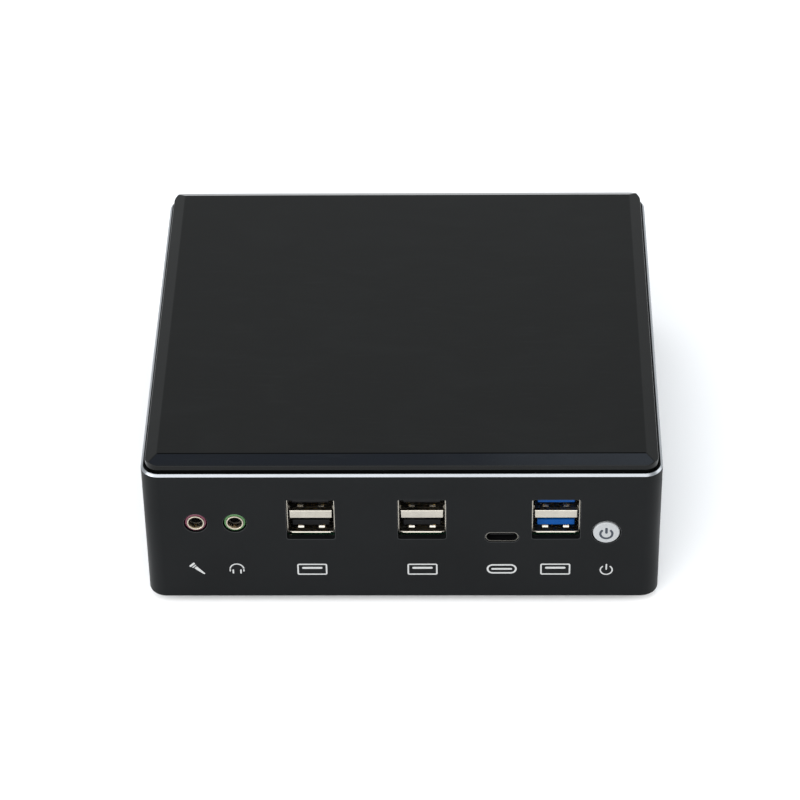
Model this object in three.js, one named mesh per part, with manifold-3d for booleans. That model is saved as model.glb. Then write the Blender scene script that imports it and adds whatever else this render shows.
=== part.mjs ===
// A small desktop computer in an extruded aluminium body with a plastic lid.
// Millimetres, +Z up, the front panel faces -Y. The origin is on the surface
// that the feet stand on, under the middle of the body. Everything is drawn in
// a group whose zero height is the underside of the aluminium body.

import * as THREE from 'three';
import { ConvexGeometry } from 'three/addons/geometries/ConvexGeometry.js';
import { mergeVertices } from 'three/addons/utils/BufferGeometryUtils.js';
import Module from 'manifold-3d';

const wasm = await Module();
wasm.setup();

// ---- Driving dimensions ---------------------------------------------------

const WIDTH = 140;
const DEPTH = 128;
const BODY_HEIGHT = 43.4;
const FOOT_HEIGHT = 2.6;
const CORNER_RADIUS = 5;
const WALL = 2;
const CLEARANCE = 0.3; // between two pieces that rest on or sit in each other

const RIM_CHAMFER = 0.8;
const LIP_THICKNESS = 0.9; // the thin wall round the lid
const LEDGE_DEPTH = 1.6; // how far the lid's seat lies below the rim

const LID_INSET = 1.25;
const LID_WALL = 1.6;
const LID_EDGE = 0.6; // underside of the lid's plate, above the rim
const LID_SHOULDER = 2.2; // where the lid's slopes begin, above the rim
const LID_RISE = 3.87; // flat top of the lid, above the rim
const LID_FLAT_INSET = 4.7;
const LID_STEP = 0.35; // the frame under the plate is this much smaller all round

const SNAP_TONGUE = { y: 36, width: 10, thickness: 1.4, reach: 4 }; // under the frame

const BOARD_TOP = 19.6;
const BOARD_THICKNESS = 1.6;
const BOARD_GAP = 2.2; // to the inner walls; the pressed button needs 1.8 of it
const BOTTOM_COVER_THICKNESS = 1.5;

const BOSS = { x: 63.5, y: 57.5, radius: 4.9, bore: 1.55 };
const FOOT = { x: 54, y: 48, radius: 5.5, sink: 0.6, room: 0.4, edge: 0.5 };
const BRACKET_PITCH = 75;
const SCREW_SHANK = 1.25;
const COVER_SCREW_HOLE = { radius: 1.6, recess: 3, recess_depth: 0.8 };
const BRACKET_SCREW_HOLE = 1.7;
const CROSS_RECESS = [2.4, 0.6];

const JACK = { z: 26.5, hole: 3.25, nose: 3, nose_recess: 0.4, ring: 2.35, bore: 1.85 };
const JACK_BLOCK = { width: 9.8, depth: 12, top: 5.6, back_wall: 1.8 };
const JACK_X = { microphone: -55.8, headphone: -45.2 };

const STACK = { z: 27.72, width: 13.2, height: 14, depth: 17.5, sheet: 0.35 };
const STACK_CUTOUT = { width: 13.1, height: 13.85, corner: 0.7 };
const STACK_X = { left: -24.7, middle: 5.4, right: 41.6 };
const STACK_DIVIDER = 2.75;
const TONGUE = { width: 11.1, thickness: 1.84, below_top: 0.6 };

const SLIM = { x: 27, z: 21.43, width: 8.94, height: 3.16, sheet: 0.22 };
const SLIM_TONGUE = { width: 6.7, thickness: 0.7, recess: 0.8, length: 6.2 };
const SLIM_CUTOUT = { width: 9.1, height: 3.7 };

const BUTTON = { x: 55.2, z: 23.2, radius: 3.6, flange: 4.6, stem: 1.2, proud: 0.3, hole: 4 };
const BUTTON_TRAVEL = 0.5;

const INLET = { x: 53, z: 25.4, nose: 3.7, bore: 3.1, pin: 1 };
const INLET_BLOCK = { width: 9, depth: 12, top: 5.5, back_wall: 2 };
const NETWORK = { x: 36, z: 26.65, width: 16, height: 13.5, corner: 0.5, proud: 0.3, sheet: 0.4 };
const VIDEO = { x: 14, z: 23.25, width: 15, height: 5.6, cut: 2 };
const DISPLAY = { x: -5, z: 22.6, width: 16.3, height: 5, cut: 2 };
const REAR_PORT_DEPTH = 11;
const REAR_PORT_RECESS = 0.6;

const BLOWER = { x: -32, y: 9, radius: 27, wall: 1.2, bottom: 28.4, top: 39.1 };
const IMPELLER = { radius: 24.5, hub: 11.5, blades: 21, bottom: 30, top: 38.2 };
const FINS = { count: 21, pitch: 2.5, thickness: 0.5, y: [47, 60], bottom: 28.6, top: 39.8 };

const VENT_WIDTH = 2.2;
const EXHAUST = { across: -32, up: 34.2, height: 10.6, pitch: 4, count: 13 };
const SIDE_VENTS = { across: 0, up: 29, height: 14, pitch: 5.5, count: 9 };
const FLOOR_VENTS = { x: 51, length: 20, pitch: 6, count: 9 };

// ---- Sizes worked out from them -------------------------------------------

const FRONT = -DEPTH / 2;
const REAR = DEPTH / 2;
const INNER_FRONT = FRONT + WALL;
const INNER_REAR = REAR - WALL;
const PORT_FACE = INNER_FRONT + 0.25; // front faces of the double ports' shells
const SLIM_FACE = FRONT + 0.6;
const SLIM_BACK = SLIM_FACE + 9.8;
const ON_BOARD = BOARD_TOP + CLEARANCE;
const BOARD_BOTTOM = BOARD_TOP - BOARD_THICKNESS;
const LID_TOP = BODY_HEIGHT + LID_RISE;
const PLATE_BOTTOM = BODY_HEIGHT + LID_EDGE;
const BEYOND = 5; // how far a cutting shape reaches past what it cuts

// ---- Solids ---------------------------------------------------------------

// The closed solid of a geometry, with its shared corners merged.
function solid(geometry) {
  const bare = geometry.clone();
  bare.deleteAttribute('normal');
  bare.deleteAttribute('uv');
  const merged = mergeVertices(bare, 1e-4);
  const corners = merged.index.array;
  const triangles = [];
  for (let i = 0; i < corners.length; i += 3) {
    const [a, b, c] = corners.slice(i, i + 3);
    if (a !== b && b !== c && c !== a) {
      triangles.push(a, b, c);
    }
  }
  return new wasm.Manifold(new wasm.Mesh({
    numProp: 3,
    vertProperties: new Float32Array(merged.attributes.position.array),
    triVerts: new Uint32Array(triangles),
  }));
}

function join(pieces) {
  return pieces.reduce((whole, piece) => whole.add(piece));
}

function cut(shape, tools) {
  return tools.reduce((rest, tool) => rest.subtract(tool), shape);
}

// A box from its ranges along X, Y and Z.
function box(xs, ys, zs) {
  const ranges = [xs, ys, zs];
  const geometry = new THREE.BoxGeometry(...ranges.map(([low, high]) => high - low));
  geometry.translate(...ranges.map(([low, high]) => (low + high) / 2));
  return solid(geometry);
}

function centred(middle, size) {
  return [middle - size / 2, middle + size / 2];
}

// Where a drawing's right, up and depth directions go for each extrusion axis.
const VIEWS = {
  x: [new THREE.Vector3(0, 1, 0), new THREE.Vector3(0, 0, 1), new THREE.Vector3(1, 0, 0)],
  y: [new THREE.Vector3(1, 0, 0), new THREE.Vector3(0, 0, 1), new THREE.Vector3(0, -1, 0)],
  z: [new THREE.Vector3(1, 0, 0), new THREE.Vector3(0, 1, 0), new THREE.Vector3(0, 0, 1)],
};

// Extrudes a drawing along one axis from one place to another. Seen along +Y
// or down -Z the drawing reads as drawn; along X it is drawn in Y and Z. Each
// arc takes the stated number of segments, which is twice the library's count.
function extrude(shape, axis, from, to, segments = 6) {
  const depth = to - from;
  const options = { depth, bevelEnabled: false, curveSegments: segments / 2 };
  const geometry = new THREE.ExtrudeGeometry(shape, options);
  const [right, up, ahead] = VIEWS[axis];
  const start = ahead.clone().multiplyScalar(axis === 'y' ? -to : from);
  geometry.applyMatrix4(new THREE.Matrix4().makeBasis(right, up, ahead).setPosition(start));
  return solid(geometry);
}

function rectangle(x, y, width, height, radius) {
  const [left, right] = centred(x, width);
  const [low, high] = centred(y, height);
  const shape = new THREE.Shape();
  shape.absarc(right - radius, low + radius, radius, -Math.PI / 2, 0);
  shape.absarc(right - radius, high - radius, radius, 0, Math.PI / 2);
  shape.absarc(left + radius, high - radius, radius, Math.PI / 2, Math.PI);
  shape.absarc(left + radius, low + radius, radius, Math.PI, 1.5 * Math.PI);
  shape.closePath();
  return shape;
}

// A slot outline: straight sides with a half circle at each end.
function stadium(x, y, width, height) {
  const shape = new THREE.Shape();
  const reach = Math.abs(width - height) / 2;
  const radius = Math.min(width, height) / 2;
  const [dx, dy, turn] = width > height ? [reach, 0, 0] : [0, reach, Math.PI / 2];
  shape.absarc(x + dx, y + dy, radius, turn - Math.PI / 2, turn + Math.PI / 2);
  shape.absarc(x - dx, y - dy, radius, turn + Math.PI / 2, turn + 1.5 * Math.PI);
  shape.closePath();
  return shape;
}

function polygon(points) {
  return new THREE.Shape(points.map(([x, y]) => new THREE.Vector2(x, y)));
}

// A round bar along an axis; its middle is given in the drawing's directions.
function rod(axis, [across, up], radius, from, to, segments = 24) {
  const circle = new THREE.Shape();
  circle.absarc(across, up, radius, 0, 2 * Math.PI);
  return extrude(circle, axis, from, to, segments);
}

// The body's plan outline, moved inwards by an inset.
function footprint(inset) {
  return rectangle(0, 0, WIDTH - 2 * inset, DEPTH - 2 * inset, CORNER_RADIUS - inset);
}

// A block with upright sides from base to shoulder and sloping sides from there
// to a smaller flat top, with mitred corners.
function mitredBlock(lowInset, base, shoulder, highInset, high) {
  const points = [];
  for (const [inset, z] of [[lowInset, base], [lowInset, shoulder], [highInset, high]]) {
    for (const x of [-1, 1]) {
      for (const y of [-1, 1]) {
        points.push(new THREE.Vector3(x * (WIDTH / 2 - inset), y * (DEPTH / 2 - inset), z));
      }
    }
  }
  return solid(new ConvexGeometry(points));
}

// A solid of revolution about Z from its radius and height pairs.
function turned(profile, segments) {
  const points = profile.map(([radius, z]) => new THREE.Vector2(radius, z));
  const geometry = new THREE.LatheGeometry(points, segments);
  geometry.rotateX(Math.PI / 2);
  return solid(geometry);
}

// ---- The finished group ---------------------------------------------------

const machine = new THREE.Group();
const body = new THREE.Group();
body.position.z = FOOT_HEIGHT;
machine.add(body);

function finish(colour, roughness, metalness) {
  return { color: colour, roughness, metalness };
}

const FINISHES = {
  anodised: finish(0x26282a, 0.45, 0.7),
  gloss_black: finish(0x1a1b1b, 0.12, 0),
  painted: finish(0x1f2021, 0.6, 0.3),
  rubber: finish(0x161616, 0.9, 0),
  steel: finish(0xc8c3b4, 0.3, 1),
  black_plastic: finish(0x17171a, 0.5, 0),
  blue_plastic: finish(0x0f50aa, 0.45, 0),
  pink_plastic: finish(0xb04a66, 0.5, 0),
  green_plastic: finish(0x64a05a, 0.5, 0),
  silver: finish(0xd6d6d2, 0.35, 0.4),
  clear: finish(0xe8f2ff, 0.2, 0),
  board: finish(0x14402a, 0.6, 0),
  copper: finish(0xb5673c, 0.35, 1),
  aluminium: finish(0xb9bcc0, 0.4, 1),
};

function place(name, shape, finishName, position = [0, 0, 0]) {
  const mesh = shape.getMesh();
  const geometry = new THREE.BufferGeometry();
  geometry.setAttribute('position', new THREE.BufferAttribute(mesh.vertProperties, 3));
  geometry.setIndex(new THREE.BufferAttribute(mesh.triVerts, 1));
  geometry.computeVertexNormals();
  const node = new THREE.Mesh(geometry, new THREE.MeshStandardMaterial(FINISHES[finishName]));
  node.name = name;
  node.position.set(...position);
  body.add(node);
}

const CORNERS = [
  ['front_left', -1, -1],
  ['front_right', 1, -1],
  ['rear_left', -1, 1],
  ['rear_right', 1, 1],
];

// ---- Body, lid and bottom -------------------------------------------------

// A row of upright slots, as cutting shapes through a wall.
function slots(axis, { across, up, height, pitch, count }, from, to) {
  const row = [];
  for (let i = 0; i < count; i += 1) {
    const middle = across + (i - (count - 1) / 2) * pitch;
    row.push(extrude(stadium(middle, up, VENT_WIDTH, height), axis, from, to, 4));
  }
  return row;
}

// A port outline that is full width at the top and has its lower corners cut.
function portOutline({ x, z, width, height, cut: corner }, grow, bothCorners) {
  const [left, right] = centred(x, width + 2 * grow);
  const [low, high] = centred(z, height + 2 * grow);
  const lowerLeft = bothCorners ? [[left, low + corner], [left + corner, low]] : [[left, low]];
  const lowerRight = [[right - corner, low], [right, low + corner]];
  return polygon([...lowerLeft, ...lowerRight, [right, high], [left, high]]);
}

function frontCutouts() {
  const [from, to] = [FRONT - BEYOND, FRONT + BEYOND];
  const tools = [];
  for (const x of Object.values(JACK_X)) {
    tools.push(rod('y', [x, JACK.z], JACK.hole, from, to));
  }
  for (const x of Object.values(STACK_X)) {
    const { width, height, corner } = STACK_CUTOUT;
    tools.push(extrude(rectangle(x, STACK.z, width, height, corner), 'y', from, to, 4));
  }
  const slot = stadium(SLIM.x, SLIM.z, SLIM_CUTOUT.width, SLIM_CUTOUT.height);
  tools.push(extrude(slot, 'y', from, to, 12));
  tools.push(rod('y', [BUTTON.x, BUTTON.z], BUTTON.hole, from, to));
  return tools;
}

function rearCutouts() {
  const [from, to] = [REAR - BEYOND, REAR + BEYOND];
  const { x, z, width, height, corner } = NETWORK;
  const window = rectangle(x, z, width + 2 * CLEARANCE, height + 2 * CLEARANCE, corner);
  return [
    rod('y', [INLET.x, INLET.z], INLET.nose + CLEARANCE, from, to),
    extrude(window, 'y', from, to, 2),
    extrude(portOutline(VIDEO, CLEARANCE, true), 'y', from, to),
    extrude(portOutline(DISPLAY, CLEARANCE, false), 'y', from, to),
    ...slots('y', EXHAUST, from, to),
  ];
}

function sideVents() {
  return [-1, 1].flatMap((side) => {
    const wall = side * (WIDTH / 2);
    return slots('x', SIDE_VENTS, wall - BEYOND, wall + BEYOND);
  });
}

function makeBodyFrame() {
  const options = {
    depth: BODY_HEIGHT - RIM_CHAMFER + BEYOND,
    curveSegments: 4,
    bevelThickness: RIM_CHAMFER,
    bevelSize: RIM_CHAMFER,
    bevelSegments: 1,
  };
  const bar = new THREE.ExtrudeGeometry(footprint(RIM_CHAMFER), options);
  bar.translate(0, 0, -BEYOND);
  const everything = box([-WIDTH, WIDTH], [-DEPTH, DEPTH], [0, BODY_HEIGHT]);
  const outer = solid(bar).intersect(everything);
  const inside = extrude(footprint(WALL), 'z', -BEYOND, BODY_HEIGHT + BEYOND, 6);
  const seat = footprint(LIP_THICKNESS);
  const rebate = extrude(seat, 'z', BODY_HEIGHT - LEDGE_DEPTH, BODY_HEIGHT + BEYOND, 8);
  const ring = cut(outer, [inside, rebate]);

  const low = BOTTOM_COVER_THICKNESS + CLEARANCE;
  const high = BOARD_BOTTOM - CLEARANCE;
  const columns = [];
  const bores = [];
  for (const [, x, y] of CORNERS) {
    const middle = [x * BOSS.x, y * BOSS.y];
    columns.push(rod('z', middle, BOSS.radius, low, high, 20));
    bores.push(rod('z', middle, BOSS.bore, low - 1, high + 1, 12));
  }
  const framed = join([ring, ...columns]).intersect(outer);
  return cut(framed, [...bores, ...frontCutouts(), ...rearCutouts(), ...sideVents()]);
}

// The solid plate with four sloping edges that makes the top of the lid.
function makeTopCover() {
  const shoulder = BODY_HEIGHT + LID_SHOULDER;
  const block = extrude(footprint(LID_INSET), 'z', PLATE_BOTTOM, LID_TOP, 8);
  const slopes = mitredBlock(LID_INSET, PLATE_BOTTOM, shoulder, LID_FLAT_INSET, LID_TOP);
  return block.intersect(slopes);
}

// The upright frame that carries the plate and snaps into the body.
function makeLidFrame() {
  const base = BODY_HEIGHT - LEDGE_DEPTH + CLEARANCE;
  const top = PLATE_BOTTOM - CLEARANCE;
  const inset = LID_INSET + LID_STEP;
  const outer = extrude(footprint(inset), 'z', base, top, 8);
  const ring = outer.subtract(extrude(footprint(inset + LID_WALL), 'z', base - 1, top + 1, 6));

  const tongues = [];
  const { y: tongueY, width, thickness, reach } = SNAP_TONGUE;
  const x = WIDTH / 2 - WALL - CLEARANCE - thickness / 2;
  for (const side of [-1, 1]) {
    for (const y of [-tongueY, tongueY]) {
      const heights = [base - reach, base + 1];
      tongues.push(box(centred(side * x, thickness), centred(y, width), heights));
    }
  }
  return join([ring, ...tongues]);
}

function makeBottomCover() {
  const plate = extrude(footprint(WALL + CLEARANCE), 'z', 0, BOTTOM_COVER_THICKNESS, 4);
  const through = BOTTOM_COVER_THICKNESS + 1;
  const tools = [];
  for (const [, x, y] of CORNERS) {
    const screw = [x * BOSS.x, y * BOSS.y];
    const bracket = [x * BRACKET_PITCH / 2, y * BRACKET_PITCH / 2];
    const foot = [x * FOOT.x, y * FOOT.y];
    tools.push(rod('z', screw, COVER_SCREW_HOLE.radius, -1, through, 12));
    tools.push(rod('z', screw, COVER_SCREW_HOLE.recess, -1, COVER_SCREW_HOLE.recess_depth, 16));
    tools.push(rod('z', foot, FOOT.radius + FOOT.room, -1, FOOT.sink));
    tools.push(rod('z', bracket, BRACKET_SCREW_HOLE, -1, through, 12));
  }
  const { x: ventX, length, pitch, count } = FLOOR_VENTS;
  for (const side of [-1, 1]) {
    for (let i = 0; i < count; i += 1) {
      const slot = stadium(side * ventX, (i - (count - 1) / 2) * pitch, length, VENT_WIDTH);
      tools.push(extrude(slot, 'z', -1, through, 4));
    }
  }
  return cut(plate, tools);
}

function makeFoot() {
  const { radius, sink, edge } = FOOT;
  const top = sink - CLEARANCE;
  return turned([
    [0, -FOOT_HEIGHT],
    [radius - edge, -FOOT_HEIGHT],
    [radius, -FOOT_HEIGHT + edge],
    [radius, top],
    [0, top],
  ], 24);
}

// A pan-head screw with a cross recess. Its head stands on zero height and its
// shank points down, or the other way up for a head that hangs below.
function makeScrew(headRadius, headHeight, length, hanging = false) {
  const way = hanging ? -1 : 1;
  const span = (near, far) => [near * way, far * way].sort((a, b) => a - b);
  const head = rod('z', [0, 0], headRadius, ...span(0, headHeight), 16);
  const shank = rod('z', [0, 0], SCREW_SHANK, ...span(-length, 0.2), 12);
  const [long, short] = CROSS_RECESS;
  const depth = span(headHeight / 2, headHeight + 1);
  const arms = [
    box(centred(0, long), centred(0, short), depth),
    box(centred(0, short), centred(0, long), depth),
  ];
  return cut(join([head, shank]), arms);
}

place('body_frame', makeBodyFrame(), 'anodised');
place('top_cover', makeTopCover(), 'gloss_black');
place('lid_frame', makeLidFrame(), 'gloss_black');
place('bottom_cover', makeBottomCover(), 'painted');

const boardScrew = makeScrew(2.4, 1.4, 8);
const coverScrew = makeScrew(2.6, 1, 7, true);
for (const [corner, x, y] of CORNERS) {
  place(`rubber_foot_${corner}`, makeFoot(), 'rubber', [x * FOOT.x, y * FOOT.y, 0]);
  const screwSpot = [x * BOSS.x, y * BOSS.y];
  place(`cover_screw_${corner}`, coverScrew, 'steel', [...screwSpot, 0.5]);
  place(`board_screw_${corner}`, boardScrew, 'steel', [...screwSpot, ON_BOARD]);
}

// ---- Front ports ----------------------------------------------------------

// A round audio jack, drawn with its axis at zero and the panel at its place.
function makeJackBody() {
  const face = INNER_FRONT + CLEARANCE;
  const { width, depth, top, back_wall: backWall } = JACK_BLOCK;
  const back = face + depth;
  const block = box(centred(0, width), [face, back], [ON_BOARD - JACK.z, top]);
  const nose = rod('y', [0, 0], JACK.nose, FRONT + JACK.nose_recess, face + 1);
  const bore = rod('y', [0, 0], JACK.ring + 0.25, FRONT - 1, back - backWall);
  return join([block, nose]).subtract(bore);
}

function makeJackRing() {
  const tube = rod('y', [0, 0], JACK.ring, FRONT + 0.15, FRONT + 12);
  return tube.subtract(rod('y', [0, 0], JACK.bore, FRONT - 1, FRONT + 13, 20));
}

for (const [name, x] of Object.entries(JACK_X)) {
  const plastic = name === 'microphone' ? 'pink_plastic' : 'green_plastic';
  place(`${name}_jack_body`, makeJackBody(), plastic, [x, 0, JACK.z]);
  place(`${name}_jack_ring`, makeJackRing(), 'steel', [x, 0, JACK.z]);
}

// The openings of a double port, as height ranges about its middle.
const openingHeight = (STACK.height - 2 * STACK.sheet - STACK_DIVIDER) / 2;
const STACK_OPENINGS = [
  [STACK_DIVIDER / 2, STACK_DIVIDER / 2 + openingHeight],
  [-STACK_DIVIDER / 2 - openingHeight, -STACK_DIVIDER / 2],
];
const DIVIDER_DEPTH = 12.5;

function makeStackShell() {
  const { width, height, depth, sheet } = STACK;
  const back = PORT_FACE + depth;
  const can = box(centred(0, width), [PORT_FACE, back], centred(0, height));
  const inside = centred(0, width - 2 * sheet);
  const tools = STACK_OPENINGS.map((range) => box(inside, [PORT_FACE - 1, back + 1], range));
  const rearRoom = centred(0, height - 2 * sheet);
  tools.push(box(inside, [PORT_FACE + DIVIDER_DEPTH, back + 1], rearRoom));
  return cut(can, tools);
}

function makeStackInsulator() {
  const { width, height, depth, sheet } = STACK;
  const root = PORT_FACE + DIVIDER_DEPTH + CLEARANCE;
  const room = 2 * (sheet + CLEARANCE);
  const block = box(
    centred(0, width - room),
    [root, PORT_FACE + depth - CLEARANCE],
    centred(0, height - room),
  );
  const tongues = STACK_OPENINGS.map(([, top]) => {
    const high = top - TONGUE.below_top;
    const reach = [PORT_FACE + 0.2, root + 1];
    return box(centred(0, TONGUE.width), reach, [high - TONGUE.thickness, high]);
  });
  return join([block, ...tongues]);
}

for (const [side, x] of Object.entries(STACK_X)) {
  const plastic = side === 'right' ? 'blue_plastic' : 'black_plastic';
  place(`data_stack_${side}_shell`, makeStackShell(), 'steel', [x, 0, STACK.z]);
  place(`data_stack_${side}_insulator`, makeStackInsulator(), plastic, [x, 0, STACK.z]);
}

function makeSlimShell() {
  const { width, height, sheet } = SLIM;
  const tube = extrude(stadium(0, 0, width, height), 'y', SLIM_FACE, SLIM_BACK, 12);
  const inside = stadium(0, 0, width - 2 * sheet, height - 2 * sheet);
  return tube.subtract(extrude(inside, 'y', SLIM_FACE - 1, SLIM_BACK + 1, 12));
}

function makeSlimInsulator() {
  const { width, height, sheet } = SLIM;
  const room = 2 * (sheet + CLEARANCE);
  const tip = SLIM_FACE + SLIM_TONGUE.recess;
  const root = tip + SLIM_TONGUE.length;
  const outline = stadium(0, 0, width - room, height - room);
  const plug = extrude(outline, 'y', root, SLIM_BACK - CLEARANCE);
  const thickness = centred(0, SLIM_TONGUE.thickness);
  return plug.add(box(centred(0, SLIM_TONGUE.width), [tip, root + 1], thickness));
}

place('slim_port_shell', makeSlimShell(), 'steel', [SLIM.x, 0, SLIM.z]);
place('slim_port_insulator', makeSlimInsulator(), 'black_plastic', [SLIM.x, 0, SLIM.z]);

// ---- Power button and its switch ------------------------------------------

const FLANGE_FACE = INNER_FRONT + CLEARANCE;
const STEM_END = FLANGE_FACE + 3.2;
const PLUNGER = 1;
const SWITCH = { width: 6, depth: 4, top: 2.6, bore: 2.2 };
const PLUNGER_TIP = STEM_END + CLEARANCE;
const SWITCH_FACE = PLUNGER_TIP + BUTTON_TRAVEL + 0.8;

function makeButton() {
  const cap = rod('y', [0, 0], BUTTON.radius, FRONT - BUTTON.proud, FLANGE_FACE + 0.5, 32);
  const flange = rod('y', [0, 0], BUTTON.flange, FLANGE_FACE, FLANGE_FACE + 1);
  const stem = rod('y', [0, 0], BUTTON.stem, FLANGE_FACE + 0.5, STEM_END, 12);
  return join([cap, flange, stem]);
}

function makeSwitchBody() {
  const low = ON_BOARD - BUTTON.z;
  const { width, depth, top, bore } = SWITCH;
  const block = box(centred(0, width), [SWITCH_FACE, SWITCH_FACE + depth], [low, top]);
  const hole = [PLUNGER + CLEARANCE, SWITCH_FACE - 1, SWITCH_FACE + bore];
  return block.subtract(rod('y', [0, 0], ...hole, 12));
}

// The plunger rests against the stem and moves with the button.
function makePlunger() {
  return rod('y', [0, 0], PLUNGER, PLUNGER_TIP, SWITCH_FACE + 1.4, 12);
}

place('power_button', makeButton(), 'silver', [BUTTON.x, 0, BUTTON.z]);
place('power_switch_body', makeSwitchBody(), 'black_plastic', [BUTTON.x, 0, BUTTON.z]);
place('power_switch_plunger', makePlunger(), 'black_plastic', [BUTTON.x, 0, BUTTON.z]);
const LED = { x: 50, y: -58.5, side: 1.6, height: 0.8 };
const ledSize = [centred(LED.x, LED.side), centred(LED.y, LED.side)];
place('power_led', box(...ledSize, [ON_BOARD, ON_BOARD + LED.height]), 'clear');

// ---- Rear ports -----------------------------------------------------------

const INLET_FACE = INNER_REAR - CLEARANCE;
const INLET_FLOOR = INLET_FACE - INLET_BLOCK.depth + INLET_BLOCK.back_wall;

function makeInlet() {
  const { width, depth, top } = INLET_BLOCK;
  const span = [INLET_FACE - depth, INLET_FACE];
  const block = box(centred(INLET.x, width), span, [ON_BOARD, INLET.z + top]);
  const middle = [INLET.x, INLET.z];
  const nose = rod('y', middle, INLET.nose, INLET_FACE - 1, REAR - REAR_PORT_RECESS);
  return join([block, nose]).subtract(rod('y', middle, INLET.bore, INLET_FLOOR, REAR + 1));
}

function makeInletPin() {
  const span = [INLET_FLOOR + CLEARANCE, INNER_REAR - 1.5];
  return rod('y', [INLET.x, INLET.z], INLET.pin, ...span, 12);
}

place('power_inlet_body', makeInlet(), 'black_plastic');
place('power_inlet_pin', makeInletPin(), 'steel');

const NETWORK_BACK = REAR - 16;
const NETWORK_CAVITY = { width: 12, low: -5, high: 2.6, depth: 12.5 };
const LATCH_STEPS = [[6.4, 4], [3.4, 5.2]]; // widths and tops of the steps above it

function makeNetworkShell() {
  const { width, height, proud, sheet } = NETWORK;
  const can = box(centred(0, width), [NETWORK_BACK, REAR + proud], centred(0, height));
  const room = 2 * sheet;
  return can.subtract(box(
    centred(0, width - room),
    [NETWORK_BACK + sheet, REAR + 1],
    centred(0, height - room),
  ));
}

function makeNetworkInsert() {
  const { width, height, sheet } = NETWORK;
  const { width: gap, low, high, depth } = NETWORK_CAVITY;
  const room = 2 * (sheet + CLEARANCE);
  const back = NETWORK_BACK + sheet + CLEARANCE;
  const block = box(centred(0, width - room), [back, REAR], centred(0, height - room));
  const reach = [REAR - depth, REAR + 1];
  const steps = LATCH_STEPS.map(([step, top]) => box(centred(0, step), reach, [high - 1, top]));
  return cut(block, [box(centred(0, gap), reach, [low, high]), ...steps]);
}

const networkSpot = [NETWORK.x, 0, NETWORK.z];
place('network_port_shell', makeNetworkShell(), 'steel', networkSpot);
place('network_port_insert', makeNetworkInsert(), 'black_plastic', networkSpot);

// A flat video port: a sheet-metal tube and an insulator with one tongue.
function placeFlatPort(name, port, bothCorners) {
  const sheet = 0.4;
  const face = REAR - REAR_PORT_RECESS;
  const back = face - REAR_PORT_DEPTH;
  const tube = extrude(portOutline(port, 0, bothCorners), 'y', back, face);
  const inside = extrude(portOutline(port, -sheet, bothCorners), 'y', back - 1, face + 1);
  const plug = extrude(portOutline(port, -sheet - CLEARANCE, bothCorners), 'y', back, back + 3);
  const tongue = box(centred(port.x, port.width - 4), [back + 2, face - 1], centred(port.z, 1));
  place(`${name}_shell`, tube.subtract(inside), 'steel');
  place(`${name}_insulator`, plug.add(tongue), 'black_plastic');
}

placeFlatPort('video_port', VIDEO, true);
placeFlatPort('display_port', DISPLAY, false);

// ---- Board and what is on it ----------------------------------------------

function makeMotherboard() {
  const plate = extrude(footprint(WALL + BOARD_GAP), 'z', BOARD_BOTTOM, BOARD_TOP, 4);
  const holes = CORNERS.map(([, x, y]) => rod(
    'z',
    [x * BOSS.x, y * BOSS.y],
    BOSS.bore,
    BOARD_BOTTOM - 1,
    BOARD_TOP + 1,
    12,
  ));
  return cut(plate, holes);
}

// A thin card with a row of chips on its face.
function makeCard(length, width, thickness, chips, chipSize, chipHeight) {
  const card = box(centred(0, length), centred(0, width), [0, thickness]);
  const pitch = length / chips;
  const row = [];
  for (let i = 0; i < chips; i += 1) {
    const x = (i - (chips - 1) / 2) * pitch;
    const ys = centred(0, chipSize[1]);
    row.push(box(centred(x, chipSize[0]), ys, [thickness - 0.1, thickness + chipHeight]));
  }
  return join([card, ...row]);
}

// A memory socket: a bar that takes the card's edge and an arm at each side.
const SOCKET = { width: 73, height: 4, bar: [-20, -15.5], arm: 2.2, arm_reach: 14 };

function makeMemorySocket() {
  const { width, height, bar, arm, arm_reach: reach } = SOCKET;
  const [, barFront] = bar;
  const arms = [-1, 1].map((side) => {
    const xs = centred(side * (width - arm) / 2, arm);
    return box(xs, [barFront - 0.5, reach], [1, height]);
  });
  return join([box(centred(0, width), bar, [0, height]), ...arms]);
}

const PROCESSOR = { x: 28, y: 5, width: 26, length: 24, top: 21.1 };
const SPREADER = { x: [6, 50], y: [-14, 24], z: [21.4, 25.2] };
const PIPE = { width: 8, thickness: 2.8, z: 26.9 };
const COIN_CELL = { x: 56.5, y: 35, radius: 10, height: 3.2 };
const CARD_Z = 22;
const CARD_WIDTH = 22;
const CARD_Y = -31;

function makeHeatPipe() {
  const overProcessor = [[46, 5], [24, 5], [8, 5.6], [2, 9]];
  const besideBlower = [[0, 16], [0, 30], [0, 42], [-3, 50]];
  const underFins = [[-11, 53.5], [-28, 53.5], [-56, 53.5]];
  const route = [...overProcessor, ...besideBlower, ...underFins];
  const curve = new THREE.CatmullRomCurve3(route.map(([x, y]) => new THREE.Vector3(x, y, PIPE.z)));
  const section = stadium(0, 0, PIPE.thickness, PIPE.width);
  const options = { steps: 24, extrudePath: curve, curveSegments: 2 };
  return solid(new THREE.ExtrudeGeometry(section, options));
}

function makeFinStack() {
  const { count, pitch, thickness, y, bottom, top } = FINS;
  const base = bottom + 0.8;
  const half = (count - 1) * pitch / 2 + thickness / 2;
  const outline = [[half, bottom], [half, top]];
  for (let i = count - 1; i > 0; i -= 1) {
    const left = (i - (count - 1) / 2) * pitch - thickness / 2;
    const next = left - (pitch - thickness);
    outline.push([left, top], [left, base], [next, base], [next, top]);
  }
  outline.push([-half, top], [-half, bottom]);
  return extrude(polygon(outline), 'y', y[0], y[1]);
}

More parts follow.
